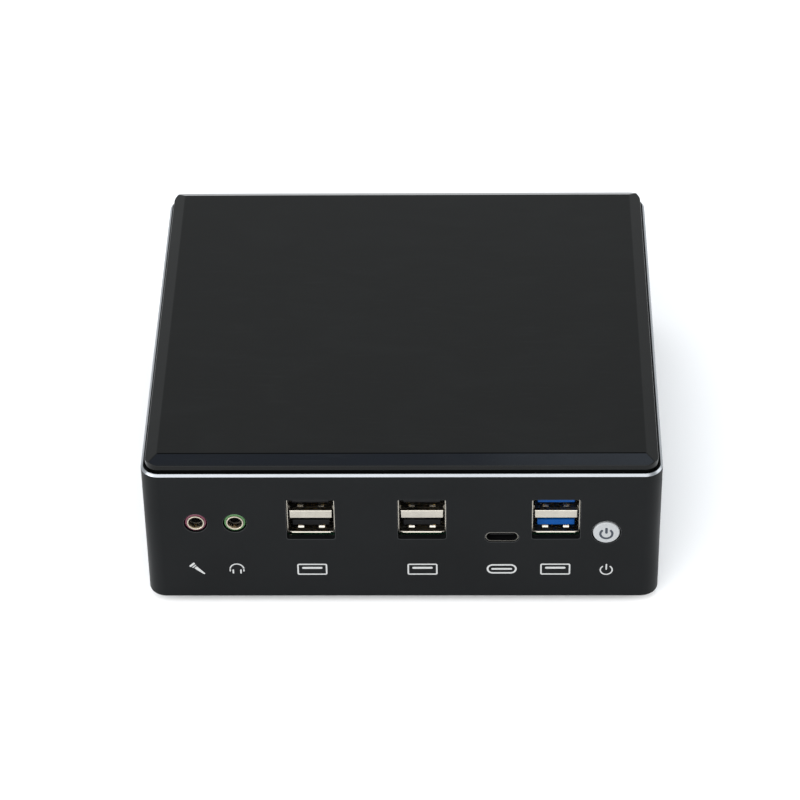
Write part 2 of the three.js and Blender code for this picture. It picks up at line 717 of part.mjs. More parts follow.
place('motherboard', makeMotherboard(), 'board');
const processorSize = [
  centred(PROCESSOR.x, PROCESSOR.width),
  centred(PROCESSOR.y, PROCESSOR.length),
  [ON_BOARD, PROCESSOR.top],
];
place('processor', box(...processorSize), 'black_plastic');
place('heat_spreader', box(SPREADER.x, SPREADER.y, SPREADER.z), 'aluminium');
place('heat_pipe', makeHeatPipe(), 'copper');
place('fin_stack', makeFinStack(), 'aluminium', [BLOWER.x, 0, 0]);
const { radius: cellRadius, height: cellHeight } = COIN_CELL;
const cell = rod('z', [0, 0], cellRadius, ON_BOARD, ON_BOARD + cellHeight);
place('coin_cell', cell, 'steel', [COIN_CELL.x, COIN_CELL.y, 0]);

const stick = makeCard(80, CARD_WIDTH, 0.8, 3, [16, 14], 1.4);
const wireless = makeCard(30, CARD_WIDTH, 0.8, 1, [20, 15], 1.6);
place('storage_stick', stick, 'board', [22, CARD_Y, CARD_Z]);
place('wireless_card', wireless, 'board', [-42, CARD_Y, CARD_Z]);

for (const [name, y] of [['front', -22], ['rear', 14]]) {
  const socketTop = BOARD_BOTTOM - CLEARANCE;
  const socketPlace = [0, y, socketTop - SOCKET.height];
  place(`memory_socket_${name}`, makeMemorySocket(), 'black_plastic', socketPlace);
  const module = makeCard(67.6, 28, 1, 4, [9, 12], 1);
  place(`memory_module_${name}`, module, 'board', [0, y - 0.2, socketTop - 3.2]);
}

// ---- Drive and its bracket ------------------------------------------------

const DRIVE = { width: 69.8, length: 100, low: 2.4, high: 9.4 };
const BRACKET = { sheet: 0.8, length: 78 };

function makeDriveBracket() {
  const { sheet, length } = BRACKET;
  const half = DRIVE.width / 2 + CLEARANCE;
  const ys = centred(0, length);
  const low = BOTTOM_COVER_THICKNESS + CLEARANCE;
  const high = DRIVE.high + CLEARANCE;
  const roof = box([-half - sheet, half + sheet], ys, [high, high + sheet]);
  const legs = [-1, 1].map((side) => {
    const xs = centred(side * (half + sheet / 2), sheet);
    return box(xs, ys, [low, high + 0.1]);
  });
  return join([roof, ...legs]);
}

const driveSize = [centred(0, DRIVE.width), centred(0, DRIVE.length), [DRIVE.low, DRIVE.high]];
place('storage_drive', box(...driveSize), 'aluminium');
place('drive_bracket', makeDriveBracket(), 'steel');

// ---- Blower ---------------------------------------------------------------

const MOTOR = { core: 9.6, tube: 3, bore: 1.3, shaft: 1, top: 36.6 };
const BLOWER_INTAKE = 18;

// The blower's plan: a half circle with straight sides running to its outlet.
function scroll(inset) {
  const radius = BLOWER.radius - inset;
  const mouth = FINS.y[0] - 0.6 - BLOWER.y;
  const shape = new THREE.Shape();
  shape.moveTo(radius, mouth);
  shape.lineTo(-radius, mouth);
  shape.lineTo(-radius, 0);
  shape.absarc(0, 0, radius, Math.PI, 2 * Math.PI);
  shape.closePath();
  return shape;
}

// Openings between three spokes, in a ring from one radius to another.
function ringOpenings(inner, outer, from, to) {
  const openings = [];
  const spoke = 0.3; // half the angle that a spoke takes, in radians
  for (let i = 0; i < 3; i += 1) {
    const [start, end] = [i, i + 1].map((n) => n * 2 * Math.PI / 3);
    const shape = new THREE.Shape();
    shape.absarc(0, 0, outer, start + spoke, end - spoke, false);
    shape.absarc(0, 0, inner, end - spoke, start + spoke, true);
    shape.closePath();
    openings.push(extrude(shape, 'z', from, to, 6));
  }
  return openings;
}

function makeBlowerHousing() {
  const { bottom, top, wall, radius } = BLOWER;
  const floor = bottom + 0.8;
  const room = extrude(scroll(wall), 'z', floor, top + 1, 16);
  const mouth = box([-radius + wall, radius - wall], [radius, 2 * radius], [floor, top + 1]);
  const block = extrude(scroll(0), 'z', bottom, top, 16);
  return cut(block, [room, mouth, ...ringOpenings(13, 20, bottom - 1, floor + 1)]);
}

function makeBlowerCover() {
  const low = BLOWER.top + CLEARANCE;
  const plate = extrude(scroll(0), 'z', low, low + 0.8, 16);
  return plate.subtract(rod('z', [0, 0], BLOWER_INTAKE, low - 1, low + 2, 32));
}

// The motor's stator round its bearing tube, standing on the housing floor.
function makeStator() {
  const low = BLOWER.bottom + 0.8 + CLEARANCE;
  const core = rod('z', [0, 0], MOTOR.core, low + 1.2, MOTOR.top, 18);
  const tube = rod('z', [0, 0], MOTOR.tube, low, MOTOR.top, 16);
  const bore = rod('z', [0, 0], MOTOR.bore, low - 1, MOTOR.top + 1, 16);
  return join([core, tube]).subtract(bore);
}

function makeImpeller() {
  const { radius, hub, blades, bottom, top } = IMPELLER;
  const sweep = 3; // how far a blade's tip trails its root
  const cup = rod('z', [0, 0], hub, bottom, top, 28);
  const hollow = rod('z', [0, 0], hub - 1.2, bottom - 1, top - 1.2, 24);
  const shaft = rod('z', [0, 0], MOTOR.shaft, bottom, top - 0.5, 16);
  const outerDisc = rod('z', [0, 0], radius, bottom, bottom + 0.8, 32);
  const innerDisc = rod('z', [0, 0], hub - 0.6, bottom - 1, bottom + 2, 24);
  const disc = outerDisc.subtract(innerDisc);
  const blade = new THREE.Shape();
  blade.moveTo(hub - 0.5, -0.4);
  blade.quadraticCurveTo(hub + 7, 0.4, radius - 0.3, -sweep);
  blade.lineTo(radius - 0.3, -sweep + 0.8);
  blade.quadraticCurveTo(hub + 7, 1.2, hub - 0.5, 0.4);
  blade.closePath();
  const options = { depth: top - bottom - 1.1, bevelEnabled: false, curveSegments: 3 };
  const vanes = [];
  for (let i = 0; i < blades; i += 1) {
    const vane = new THREE.ExtrudeGeometry(blade, options);
    vane.rotateZ(i * 2 * Math.PI / blades);
    vane.translate(0, 0, bottom + 0.5);
    vanes.push(solid(vane));
  }
  return join([cup.subtract(hollow), shaft, disc, ...vanes]);
}

const blowerSpot = [BLOWER.x, BLOWER.y, 0];
place('blower_housing', makeBlowerHousing(), 'black_plastic', blowerSpot);
place('blower_cover', makeBlowerCover(), 'steel', blowerSpot);
place('blower_stator', makeStator(), 'copper', blowerSpot);
place('blower_impeller', makeImpeller(), 'black_plastic', blowerSpot);

// ---- Antennas under the lid -----------------------------------------------

const ANTENNA = { x: 40, y: -52, width: 32, length: 8, film: 0.3 };

for (const [name, side] of [['left', -1], ['right', 1]]) {
  const { width, length, film: sheet } = ANTENNA;
  const ceiling = PLATE_BOTTOM - CLEARANCE;
  const sides = [centred(side * ANTENNA.x, width), centred(ANTENNA.y, length)];
  const film = box(...sides, [ceiling - sheet, ceiling]);
  place(`antenna_${name}`, film, 'copper');
}

export default machine;
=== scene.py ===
import math

import bpy
from mathutils import Matrix, Vector


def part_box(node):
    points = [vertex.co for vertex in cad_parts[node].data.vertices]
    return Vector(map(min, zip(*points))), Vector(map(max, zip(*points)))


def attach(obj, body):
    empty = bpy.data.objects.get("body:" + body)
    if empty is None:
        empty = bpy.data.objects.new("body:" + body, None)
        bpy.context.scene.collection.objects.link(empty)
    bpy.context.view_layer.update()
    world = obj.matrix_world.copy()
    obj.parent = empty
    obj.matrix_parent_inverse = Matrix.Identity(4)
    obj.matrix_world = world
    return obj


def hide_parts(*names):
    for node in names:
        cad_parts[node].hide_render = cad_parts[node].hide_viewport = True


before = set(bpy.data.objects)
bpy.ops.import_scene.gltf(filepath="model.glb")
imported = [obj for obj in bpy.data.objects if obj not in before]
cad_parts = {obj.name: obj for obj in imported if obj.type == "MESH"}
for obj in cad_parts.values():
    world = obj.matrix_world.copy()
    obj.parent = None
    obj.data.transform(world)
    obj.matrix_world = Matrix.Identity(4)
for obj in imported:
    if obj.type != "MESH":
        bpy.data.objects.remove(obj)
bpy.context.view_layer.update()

# A small desktop computer: an anodised aluminium body, a bevelled gloss lid and
# a row of sockets. Lengths are in millimetres up to the call that makes a mesh.

MM = 0.001
BASE = "base"


# ---- Modelling tools --------------------------------------------------------


def node_box(name):
    """A node's lowest and highest corners, in millimetres."""
    low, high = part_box(name)
    return low / MM, high / MM


def node_middle(name):
    return sum(node_box(name), Vector()) / 2


def only(piece):
    """Makes one piece the only selected one, and the active one."""
    if bpy.context.object and bpy.context.object.mode != "OBJECT":
        bpy.ops.object.mode_set(mode="OBJECT")
    bpy.ops.object.select_all(action="DESELECT")
    piece.select_set(True)
    bpy.context.view_layer.objects.active = piece


def settle(piece):
    """Puts a piece's place, turn and scale into its mesh."""
    only(piece)
    bpy.ops.object.transform_apply(location=True, rotation=True, scale=True)


def started(name):
    piece = bpy.context.object
    piece.name = name
    piece.data.name = name
    return piece


def block(name, low, high):
    """A box between two corners, to start a piece from."""
    bpy.ops.object.select_all(action="DESELECT")
    low, high = Vector(low), Vector(high)
    bpy.ops.mesh.primitive_cube_add(size=1, location=(low + high) / 2 * MM)
    piece = started(name)
    piece.scale = (high - low) * MM
    settle(piece)
    return piece


def slab(name, middle, half_width, half_height, start, end):
    """A box that reaches evenly from a middle across and up, from one Y to another."""
    low = (middle.x - half_width, start, middle.z - half_height)
    high = (middle.x + half_width, end, middle.z + half_height)
    return block(name, low, high)


QUARTER = math.pi / 2
BAR_TURNS = {"x": (0, QUARTER, 0), "y": (QUARTER, 0, 0), "z": (0, 0, 0)}
AXES = {"x": Vector((1, 0, 0)), "y": Vector((0, 1, 0)), "z": Vector((0, 0, 1))}


def bar(name, axis, start, end, middle, radius, sides=48):
    """A round bar along an axis from one place to another, to start a piece from."""
    bpy.ops.object.select_all(action="DESELECT")
    along = AXES[axis]
    place = Vector(middle) - along * Vector(middle).dot(along) + along * (start + end) / 2
    bpy.ops.mesh.primitive_cylinder_add(
        vertices=sides,
        radius=radius * MM,
        depth=(end - start) * MM,
        location=place * MM,
        rotation=BAR_TURNS[axis],
    )
    piece = started(name)
    settle(piece)
    return piece


def bends(mesh):
    """How far the surface turns at each edge, in degrees."""
    normals = {}
    for face in mesh.polygons:
        for key in face.edge_keys:
            normals.setdefault(key, []).append(face.normal)
    return {key: math.degrees(pair[0].angle(pair[-1], 0)) for key, pair in normals.items()}


def pick(piece, kind, test):
    """Enters edit mode with just the faces, edges or corners that pass a test.

    The test takes a middle in millimetres and a normal, or for an edge its
    direction. Edges in a flat face, or between two facets of a curve, are left.
    """
    only(piece)
    mesh = piece.data
    for parts in (mesh.vertices, mesh.edges, mesh.polygons):
        parts.foreach_set("select", [False] * len(parts))
    if kind == "FACE":
        for face in mesh.polygons:
            face.select = test(face.center / MM, face.normal)
    elif kind == "EDGE":
        bend = bends(mesh)
        for edge in mesh.edges:
            a, b = (mesh.vertices[i].co for i in edge.vertices)
            edge.select = bend[edge.key] > 12 and test((a + b) / 2 / MM, (b - a).normalized())
    else:
        for corner in mesh.vertices:
            corner.select = test(corner.co / MM, corner.normal)
    bpy.context.tool_settings.mesh_select_mode = [kind == k for k in ("VERT", "EDGE", "FACE")]
    bpy.ops.object.mode_set(mode="EDIT")


def done():
    bpy.ops.object.mode_set(mode="OBJECT")


def round_edges(piece, test, radius, segments=4, material=-1):
    """Rounds the edges that pass a test."""
    pick(piece, "EDGE", test)
    bpy.ops.mesh.bevel(
        offset=radius * MM,
        segments=segments,
        profile=0.5,
        affect="EDGES",
        clamp_overlap=False,
        material=material,
    )
    done()


def along(axis):
    """A test for edges that run along an axis."""
    return lambda middle, way: abs(way.dot(AXES[axis])) > 0.99


def in_plane(axis, place, run=None):
    """A test for edges in a plane across an axis, or just those that run one way in it."""
    index = "xyz".index(axis)

    def test(spot, way):
        return abs(spot[index] - place) < 0.001 and (run is None or abs(way.dot(AXES[run])) > 0.9)

    return test


def facing(way, limit=0.9):
    """A test for faces that look one way."""
    way = Vector(way)
    return lambda middle, normal: normal.dot(way) > limit


def inset(thickness, depth=0.0):
    bpy.ops.mesh.inset(thickness=thickness * MM, depth=depth * MM, use_even_offset=True)


def extrude(x=0.0, y=0.0, z=0.0):
    move = Vector((x, y, z)) * MM
    bpy.ops.mesh.extrude_region_move(TRANSFORM_OT_translate={"value": move})


def apply_modifier(piece, kind, **settings):
    only(piece)
    modifier = piece.modifiers.new(kind.lower(), kind)
    for key, value in settings.items():
        setattr(modifier, key, value)
    bpy.ops.object.modifier_apply(modifier=modifier.name)


def bevelled(piece, width, segments=2, degrees=35):
    """Rounds every edge sharper than an angle."""
    apply_modifier(
        piece,
        "BEVEL",
        width=width * MM,
        segments=segments,
        limit_method="ANGLE",
        angle_limit=math.radians(degrees),
    )
    return piece


def polished(piece, degrees=30):
    """Smooth shading that keeps flat faces flat."""
    only(piece)
    bpy.ops.object.shade_smooth_by_angle(angle=math.radians(degrees))
    apply_modifier(piece, "WEIGHTED_NORMAL", weight=100, keep_sharp=True)
    return piece


def joined(name, pieces):
    only(pieces[0])
    for piece in pieces[1:]:
        piece.select_set(True)
    if len(pieces) > 1:
        bpy.ops.object.join()
    return started(name)


def combined(piece, tools, operation="DIFFERENCE"):
    """Cuts or welds pieces that stand apart from each other into one piece."""
    tool = joined("tool", tools)
    only(piece)
    modifier = piece.modifiers.new("boolean", "BOOLEAN")
    modifier.operation = operation
    modifier.object = tool
    modifier.solver = "EXACT"
    bpy.ops.object.modifier_apply(modifier=modifier.name)
    bpy.data.objects.remove(tool, do_unlink=True)
    return piece


def rounded_block(name, low, high, axis, radius, segments=4):
    """A box with its edges along one axis rounded."""
    piece = block(name, low, high)
    round_edges(piece, along(axis), radius, segments)
    return piece


def stadium_block(name, low, high, axis, segments=8):
    """A box whose narrower sides along one axis are full half rounds."""
    sizes = [h - l for l, h, way in zip(low, high, "xyz") if way != axis]
    return rounded_block(name, low, high, axis, min(sizes) / 2 * 0.999, segments)


def copied(piece, name, shift):
    """A copy with its own mesh, moved by a shift."""
    only(piece)
    bpy.ops.object.duplicate(linked=False)
    copy = started(name)
    copy.location = Vector(shift) * MM
    settle(copy)
    return copy


def strip(name, x, width, path, thickness):
    """A bent sheet-metal strip through a path of Y and Z places."""
    bpy.ops.object.select_all(action="DESELECT")
    rows = len(path)
    bpy.ops.mesh.primitive_grid_add(
        x_subdivisions=1, y_subdivisions=rows - 1, size=1, location=(0, 0, 0)
    )
    piece = started(name)
    piece.scale = (width * MM, 1, 1)
    piece.location.x = x * MM
    settle(piece)
    for row, (y, z) in enumerate(path):
        place = (row / (rows - 1) - 0.5) / MM
        pick(piece, "VERT", lambda spot, normal: abs(spot.y - place) < 1 and spot.z == 0)
        bpy.ops.transform.translate(value=(0, y * MM - place * MM, z * MM + 10))
        done()
    pick(piece, "VERT", lambda spot, normal: True)
    bpy.ops.transform.translate(value=(0, 0, -10))
    done()
    apply_modifier(piece, "SOLIDIFY", thickness=thickness * MM, offset=0)
    return piece


def arc_stroke(name, middle, radius, width, start, sweep, front, back, steps=48):
    """A flat stroke along an arc on the front: degrees clockwise from the top."""
    stroke = block(name, (-0.01, front, radius - width / 2), (0, back, radius + width / 2))
    pick(stroke, "FACE", lambda spot, normal: normal.x < 0.9)
    bpy.ops.mesh.delete(type="FACE")
    done()
    x, _, z = middle
    stroke.rotation_euler = (0, math.radians(start), 0)
    stroke.location = Vector((x, 0, z)) * MM
    settle(stroke)
    pick(stroke, "FACE", lambda spot, normal: True)
    bpy.ops.mesh.duplicate()
    bpy.ops.mesh.spin(
        steps=steps,
        angle=-math.radians(sweep),
        center=Vector((x, 0, z)) * MM,
        axis=(0, 1, 0),
    )
    bpy.ops.mesh.select_all(action="SELECT")
    bpy.ops.mesh.remove_doubles(threshold=0.001 * MM)
    bpy.ops.mesh.normals_make_consistent(inside=False)
    done()
    return stroke


def paint(piece, index, test):
    """Gives the faces that pass a test another of the piece's materials."""
    for face in piece.data.polygons:
        if test(face.center / MM, face.normal):
            face.material_index = index


def coated(piece, *finishes):
    """Gives a piece its finishes, the first of them on every face."""
    piece.data.materials.clear()
    for finish in finishes:
        piece.data.materials.append(finish)


def placed(piece, finish=None, body=BASE, slot=None, replaces=()):
    """Gives a piece its body and a finish if one is named, and hides the nodes it stands for; the
    slot is not used.
    """
    if finish:
        coated(piece, finish)
    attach(piece, body)
    if replaces:
        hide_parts(*replaces)


# ---- Finishes ---------------------------------------------------------------


def set_inputs(node, values):
    for key, value in values.items():
        node.inputs[key].default_value = value


class Finish:
    """A material under construction, with its pattern nodes."""

    def __init__(self, name, colour, roughness, metallic=0.0, specular=0.5):
        self.material = bpy.data.materials.new(name)
        self.material.use_nodes = True
        self.nodes = self.material.node_tree.nodes
        self.links = self.material.node_tree.links
        self.shader = self.nodes["Principled BSDF"]
        self.colour = (*colour, 1)
        set_inputs(self.shader, {"Base Color": self.colour, "Roughness": roughness})
        set_inputs(self.shader, {"Metallic": metallic, "Specular IOR Level": specular})
        self.coordinates = self.nodes.new("ShaderNodeTexCoord")
        self.normal = None

    def noise(self, size, detail=4.0, stretch=(1, 1, 1), distortion=0.0):
        """Cloudy noise whose features are about one size, in millimetres."""
        mapping = self.nodes.new("ShaderNodeMapping")
        mapping.inputs["Scale"].default_value = stretch
        self.links.new(self.coordinates.outputs["Object"], mapping.inputs["Vector"])
        noise = self.nodes.new("ShaderNodeTexNoise")
        set_inputs(noise, {"Scale": 1 / (size * MM), "Detail": detail, "Distortion": distortion})
        self.links.new(mapping.outputs["Vector"], noise.inputs["Vector"])
        return noise.outputs["Fac"]

    def ranged(self, value, low, high, new_low, new_high):
        """Maps a pattern from one range to another, clamped."""
        node = self.nodes.new("ShaderNodeMapRange")
        set_inputs(node, {"From Min": low, "From Max": high, "To Min": new_low, "To Max": new_high})
        self.links.new(value, node.inputs["Value"])
        return node.outputs["Result"]

    def roughness(self, value, low, high):
        """Varies the roughness with a pattern."""
        self.links.new(self.ranged(value, 0.3, 0.7, low, high), self.shader.inputs["Roughness"])

    def tint(self, value, colour, low=0.3, high=0.7, amount=1.0):
        """Blends a second colour over what is there, by a pattern."""
        mix = self.nodes.new("ShaderNodeMix")
        mix.data_type = "RGBA"
        base = self.shader.inputs["Base Color"]
        if base.is_linked:
            self.links.new(base.links[0].from_socket, mix.inputs["A"])
        else:
            mix.inputs["A"].default_value = self.colour
        mix.inputs["B"].default_value = (*colour, 1)
        self.links.new(self.ranged(value, low, high, 0, amount), mix.inputs["Factor"])
        self.links.new(mix.outputs["Result"], base)

    def bump(self, value, height):
        """Adds relief from a pattern; its height is in millimetres."""
        node = self.nodes.new("ShaderNodeBump")
        set_inputs(node, {"Strength": 1, "Distance": height * MM})
        self.links.new(value, node.inputs["Height"])
        if self.normal:
            self.links.new(self.normal, node.inputs["Normal"])
        self.normal = node.outputs["Normal"]
        self.links.new(self.normal, self.shader.inputs["Normal"])


def anodised_finish(name, colour, specular):
    """Black anodised aluminium: a blasted grain under a satin dye."""
    finish = Finish(name, colour, 0.45, specular=specular)
    cloud = finish.noise(22, detail=3)
    grain = finish.noise(0.16, detail=2)
    finish.roughness(cloud, 0.38, 0.5)
    finish.tint(grain, [c * 1.5 for c in colour], 0.45, 0.75, 0.7)
    finish.tint(cloud, [c * 0.75 for c in colour], 0.4, 0.7, 0.6)
    finish.bump(grain, 0.008)
    finish.bump(finish.noise(4, detail=2), 0.004)
    return finish.material


def cut_edge_finish():
    """Bare aluminium where a tool has cut through the black."""
    finish = Finish("cut_edge", (0.275, 0.288, 0.306), 0.3, metallic=1.0)
    lines = finish.noise(1.4, detail=2, stretch=(1, 1, 12))
    finish.roughness(lines, 0.27, 0.35)
    finish.tint(finish.noise(24, detail=2), (0.225, 0.237, 0.253), 0.4, 0.7, 0.6)
    finish.bump(lines, 0.0002)
    return finish.material


def gloss_lid_finish(name, colour, specular):
    """Polished black moulding with a faint ripple, wipe marks and hairlines."""
    finish = Finish(name, colour, 0.09, specular=specular)
    wipes = finish.noise(26, detail=5, stretch=(1, 2.2, 1), distortion=0.8)
    hairs = finish.noise(0.6, detail=6, stretch=(0.06, 1, 1), distortion=0.2)
    finish.roughness(wipes, 0.07, 0.16)
    finish.tint(hairs, [c * 2.6 for c in colour], 0.58, 0.72, 0.5)
    finish.tint(wipes, [c * 1.7 for c in colour], 0.45, 0.75, 0.6)
    finish.bump(finish.noise(5, detail=2), 0.003)
    finish.bump(hairs, 0.0008)
    return finish.material


def powder_finish():
    """Fine textured black powder coat on sheet steel."""
    finish = Finish("powder_coat", (0.014, 0.0145, 0.015), 0.6, specular=0.4)
    beads = finish.noise(0.45, detail=3)
    finish.roughness(finish.noise(12), 0.5, 0.68)
    finish.tint(beads, (0.03, 0.031, 0.032), 0.5, 0.75, 0.6)
    finish.bump(beads, 0.05)
    return finish.material


def rubber_finish():
    finish = Finish("foot_rubber", (0.012, 0.012, 0.012), 0.85, specular=0.3)
    speckle = finish.noise(0.3, detail=4)
    finish.roughness(finish.noise(3), 0.75, 0.95)
    finish.tint(speckle, (0.03, 0.03, 0.03), 0.5, 0.8, 0.6)
    finish.bump(speckle, 0.03)
    return finish.material


def plated_finish(name, colour, stretch, low=0.2, high=0.38):
    """Nickel plate over rolled sheet: fine rolling lines and soft stains."""
    finish = Finish(name, colour, 0.3, metallic=1.0)
    lines = finish.noise(0.7, detail=5, stretch=stretch)
    stains = finish.noise(2.6, detail=3)
    finish.roughness(lines, low, high)
    finish.tint(stains, [c * 0.78 for c in colour], 0.4, 0.75, 0.6)
    finish.bump(lines, 0.004)
    return finish.material


def plastic_finish(name, colour, roughness, specular=0.5):
    """Moulded plastic: a spark-eroded grain and slight flow marks."""
    finish = Finish(name, colour, roughness, specular=specular)
    fine = finish.noise(0.25, detail=3)
    flow = finish.noise(4, detail=3, stretch=(1, 1, 0.5))
    finish.roughness(flow, roughness - 0.08, roughness + 0.08)
    finish.tint(fine, [min(1, c * 1.35 + 0.002) for c in colour], 0.45, 0.8, 0.5)
    finish.tint(flow, [c * 0.8 for c in colour], 0.4, 0.75, 0.5)
    finish.bump(fine, 0.01)
    return finish.material


def silver_cap_finish():
    """Satin silver paint with a fine metal flake."""
    finish = Finish("silver_paint", (0.285, 0.291, 0.298), 0.42, metallic=0.1)
    flake = finish.noise(0.14, detail=2)
    finish.roughness(finish.noise(3), 0.36, 0.48)
    finish.tint(flake, (0.4, 0.41, 0.42), 0.5, 0.75, 0.6)
    finish.tint(finish.noise(2.2), (0.285, 0.291, 0.298), 0.4, 0.7, 0.4)
    finish.bump(flake, 0.004)
    return finish.material


def ink_finish(name, colour):
    """Screen-printed ink with the mesh's slight unevenness."""
    finish = Finish(name, colour, 0.55, specular=0.4)
    mesh_marks = finish.noise(0.12, detail=2)
    finish.roughness(finish.noise(1.2), 0.48, 0.66)
    finish.tint(mesh_marks, [c * 0.8 for c in colour], 0.45, 0.75, 0.6)
    finish.bump(mesh_marks, 0.003)
    return finish.material


def board_finish():
    """Green solder mask over copper tracks, with pads and stitching holes."""
    finish = Finish("solder_mask", (0.010, 0.055, 0.028), 0.4, specular=0.5)
    for stretch in ((1, 0.08, 1), (0.08, 1, 1)):
        lines = finish.noise(0.9, detail=1, stretch=stretch)
        track = finish.ranged(lines, 0.52, 0.54, 0, 1)
        finish.tint(track, (0.018, 0.095, 0.045), 0, 1, 0.8)
        finish.bump(track, 0.02)
    spots = finish.nodes.new("ShaderNodeTexVoronoi")
    spots.inputs["Scale"].default_value = 1 / (2.4 * MM)
    finish.links.new(finish.coordinates.outputs["Object"], spots.inputs["Vector"])
    finish.tint(finish.ranged(spots.outputs["Distance"], 0.14, 0.16, 1, 0), (0.55, 0.5, 0.36), 0, 1)
    finish.roughness(finish.noise(6), 0.32, 0.5)
    return finish.material


def bare_metal_finish(name, colour, stretch):
    finish = Finish(name, colour, 0.35, metallic=1.0)
    lines = finish.noise(1.2, detail=5, stretch=stretch)
    finish.roughness(lines, 0.28, 0.45)
    finish.tint(finish.noise(5, detail=4), [c * 0.7 for c in colour], 0.4, 0.75, 0.7)
    finish.bump(lines, 0.006)
    return finish.material


def lens_finish(name, colour):
    """Clear tinted light guide, frosted at its face."""
    finish = Finish(name, colour, 0.2)
    frost = finish.noise(0.5, detail=3)
    finish.shader.inputs["Transmission Weight"].default_value = 0.5
    finish.roughness(frost, 0.12, 0.35)
    finish.tint(frost, [c * 0.7 for c in colour], 0.4, 0.7, 0.6)
    finish.bump(frost, 0.004)
    return finish.material


ANODISED = anodised_finish("anodised_black", (0.0032, 0.0037, 0.0041), 0.1)
ANODISED_EDGE = anodised_finish("anodised_edge", (0.014, 0.015, 0.016), 0.3)
CUT_EDGE = cut_edge_finish()
GLOSS_LID = gloss_lid_finish("gloss_lid", (0.0022, 0.0025, 0.0025), 0.16)
# A darker, duller copy of the lid finish: a painted dark reflection along the lid's front and rear
# top edges.
LID_EDGE_DARK_REFLECTION = gloss_lid_finish("lid_edge_painted_dark_reflection", (0.0006, 0.0007, 0.0007), 0.05)
POWDER = powder_finish()
RUBBER = rubber_finish()
NICKEL = plated_finish("nickel_plate", (0.46, 0.43, 0.375), (0.1, 1, 1))
DULL_NICKEL = plated_finish("dull_plate", (0.2, 0.19, 0.17), (0.1, 1, 1))
RING_NICKEL = plated_finish("ring_plate", (0.48, 0.43, 0.35), (1, 0.15, 1), 0.2, 0.34)
GOLD = plated_finish("contact_gold", (0.83, 0.60, 0.24), (1, 0.1, 1), 0.2, 0.35)
BLACK_PLASTIC = plastic_finish("black_moulding", (0.0075, 0.0075, 0.008), 0.42)
# Black tongue plastic; the same material is also painted shade inside the slim tube and under each
# data can.
TONGUE_PLASTIC_AND_SHADE = plastic_finish("black_tongue_and_painted_shade", (0.0025, 0.0025, 0.003), 0.5, specular=0.12)
BLUE_PLASTIC = plastic_finish("blue_moulding", (0.0003, 0.044, 0.185), 0.45, specular=0.1)
PINK_PLASTIC = plastic_finish("pink_moulding", (0.1, 0.016, 0.036), 0.42)
GREEN_PLASTIC = plastic_finish("green_moulding", (0.044, 0.132, 0.039), 0.42)
SILVER_CAP = silver_cap_finish()
WHITE_INK = ink_finish("white_ink", (0.36, 0.363, 0.36))
DARK_INK = ink_finish("dark_ink", (0.02, 0.026, 0.038))
BOARD = board_finish()
COPPER = bare_metal_finish("copper", (0.78, 0.40, 0.25), (0.2, 1, 1))
ALUMINIUM = bare_metal_finish("mill_aluminium", (0.62, 0.63, 0.65), (1, 0.15, 1))
CLEAR = lens_finish("clear_lens", (0.75, 0.8, 0.85))
GREEN_LENS = lens_finish("green_lens", (0.12, 0.42, 0.14))
AMBER_LENS = lens_finish("amber_lens", (0.55, 0.30, 0.06))


# ---- Body -------------------------------------------------------------------

FRAME_LOW, FRAME_HIGH = node_box("body_frame")
FRONT, REAR = FRAME_LOW.y, FRAME_HIGH.y
RIM = FRAME_HIGH.z
CORNER_RADIUS = 5
WALL = 2
RIM_CHAMFER = 0.6
LIP_FLAT = 0.3
LEDGE_DEPTH = 1.6
WINDOW_EDGE = 0.12
UNDERSIDE_EDGE = 0.35
RIM_EDGE = 0.08
VENT_WIDTH = 2.2
REACH = 5  # how far a cutting tool reaches past a wall
SHOULDER_GAP = 0.3  # from a panel's inside to the shoulder of a part behind it


def round_hole(face, middle, radius):
    return bar("hole", "y", face - REACH, face + REACH, middle, radius, 64)


def outline_span(face, node, gap):
    """The corners of a cutting tool round a node's outline, larger by a gap."""
    low, high = node_box(node)
    start = (low.x - gap, face - REACH, low.z - gap)
    end = (high.x + gap, face + REACH, high.z + gap)
    return start, end


def window(face, node, gap, radius, segments=4):
    """A cutting tool for a rounded window in the front or rear, round a node."""
    return rounded_block("window", *outline_span(face, node, gap), "y", radius, segments)


JACKS = ("microphone", "headphone")
STACKS = ("left", "middle", "right")
JACK_HOLE = 3.2
BUTTON_HOLE = 4
INLET_HOLE = 4
REAR_GAP = 0.3  # round the rear sockets
VIDEO_CUT = 2
VIDEO_SOCKETS = {"video_port": ("left", "right"), "display_port": ("right",)}
EXHAUST = {"pitch": 4, "count": 13}
SIDE_VENT = {"middle_up": FRAME_LOW.z + 29, "height": 14, "pitch": 5.5, "count": 9}


def front_tools():
    tools = [round_hole(FRONT, node_middle(f"{name}_jack_ring"), JACK_HOLE) for name in JACKS]
    for side in STACKS:
        tools.append(window(FRONT, f"data_stack_{side}_shell", gap=-0.06, radius=0.6))
    tools.append(window(FRONT, "slim_port_shell", gap=0.14, radius=1.7, segments=10))
    tools.append(round_hole(FRONT, node_middle("power_button"), BUTTON_HOLE))
    return tools


def slanted(piece, middle, corners):
    """Cuts some of a block's lower corners at a slant, as a video socket's are."""
    for corner in corners:
        way_out = -1 if corner == "left" else 1

        def is_corner(spot, way):
            beside = (spot.x - middle.x) * way_out > 0
            return abs(way.y) > 0.99 and spot.z < middle.z and beside

        round_edges(piece, is_corner, VIDEO_CUT, 1)
    return piece


def slanted_window(node, corners):
    tool = block("window", *outline_span(REAR, node, REAR_GAP))
    return slanted(tool, node_middle(node), corners)


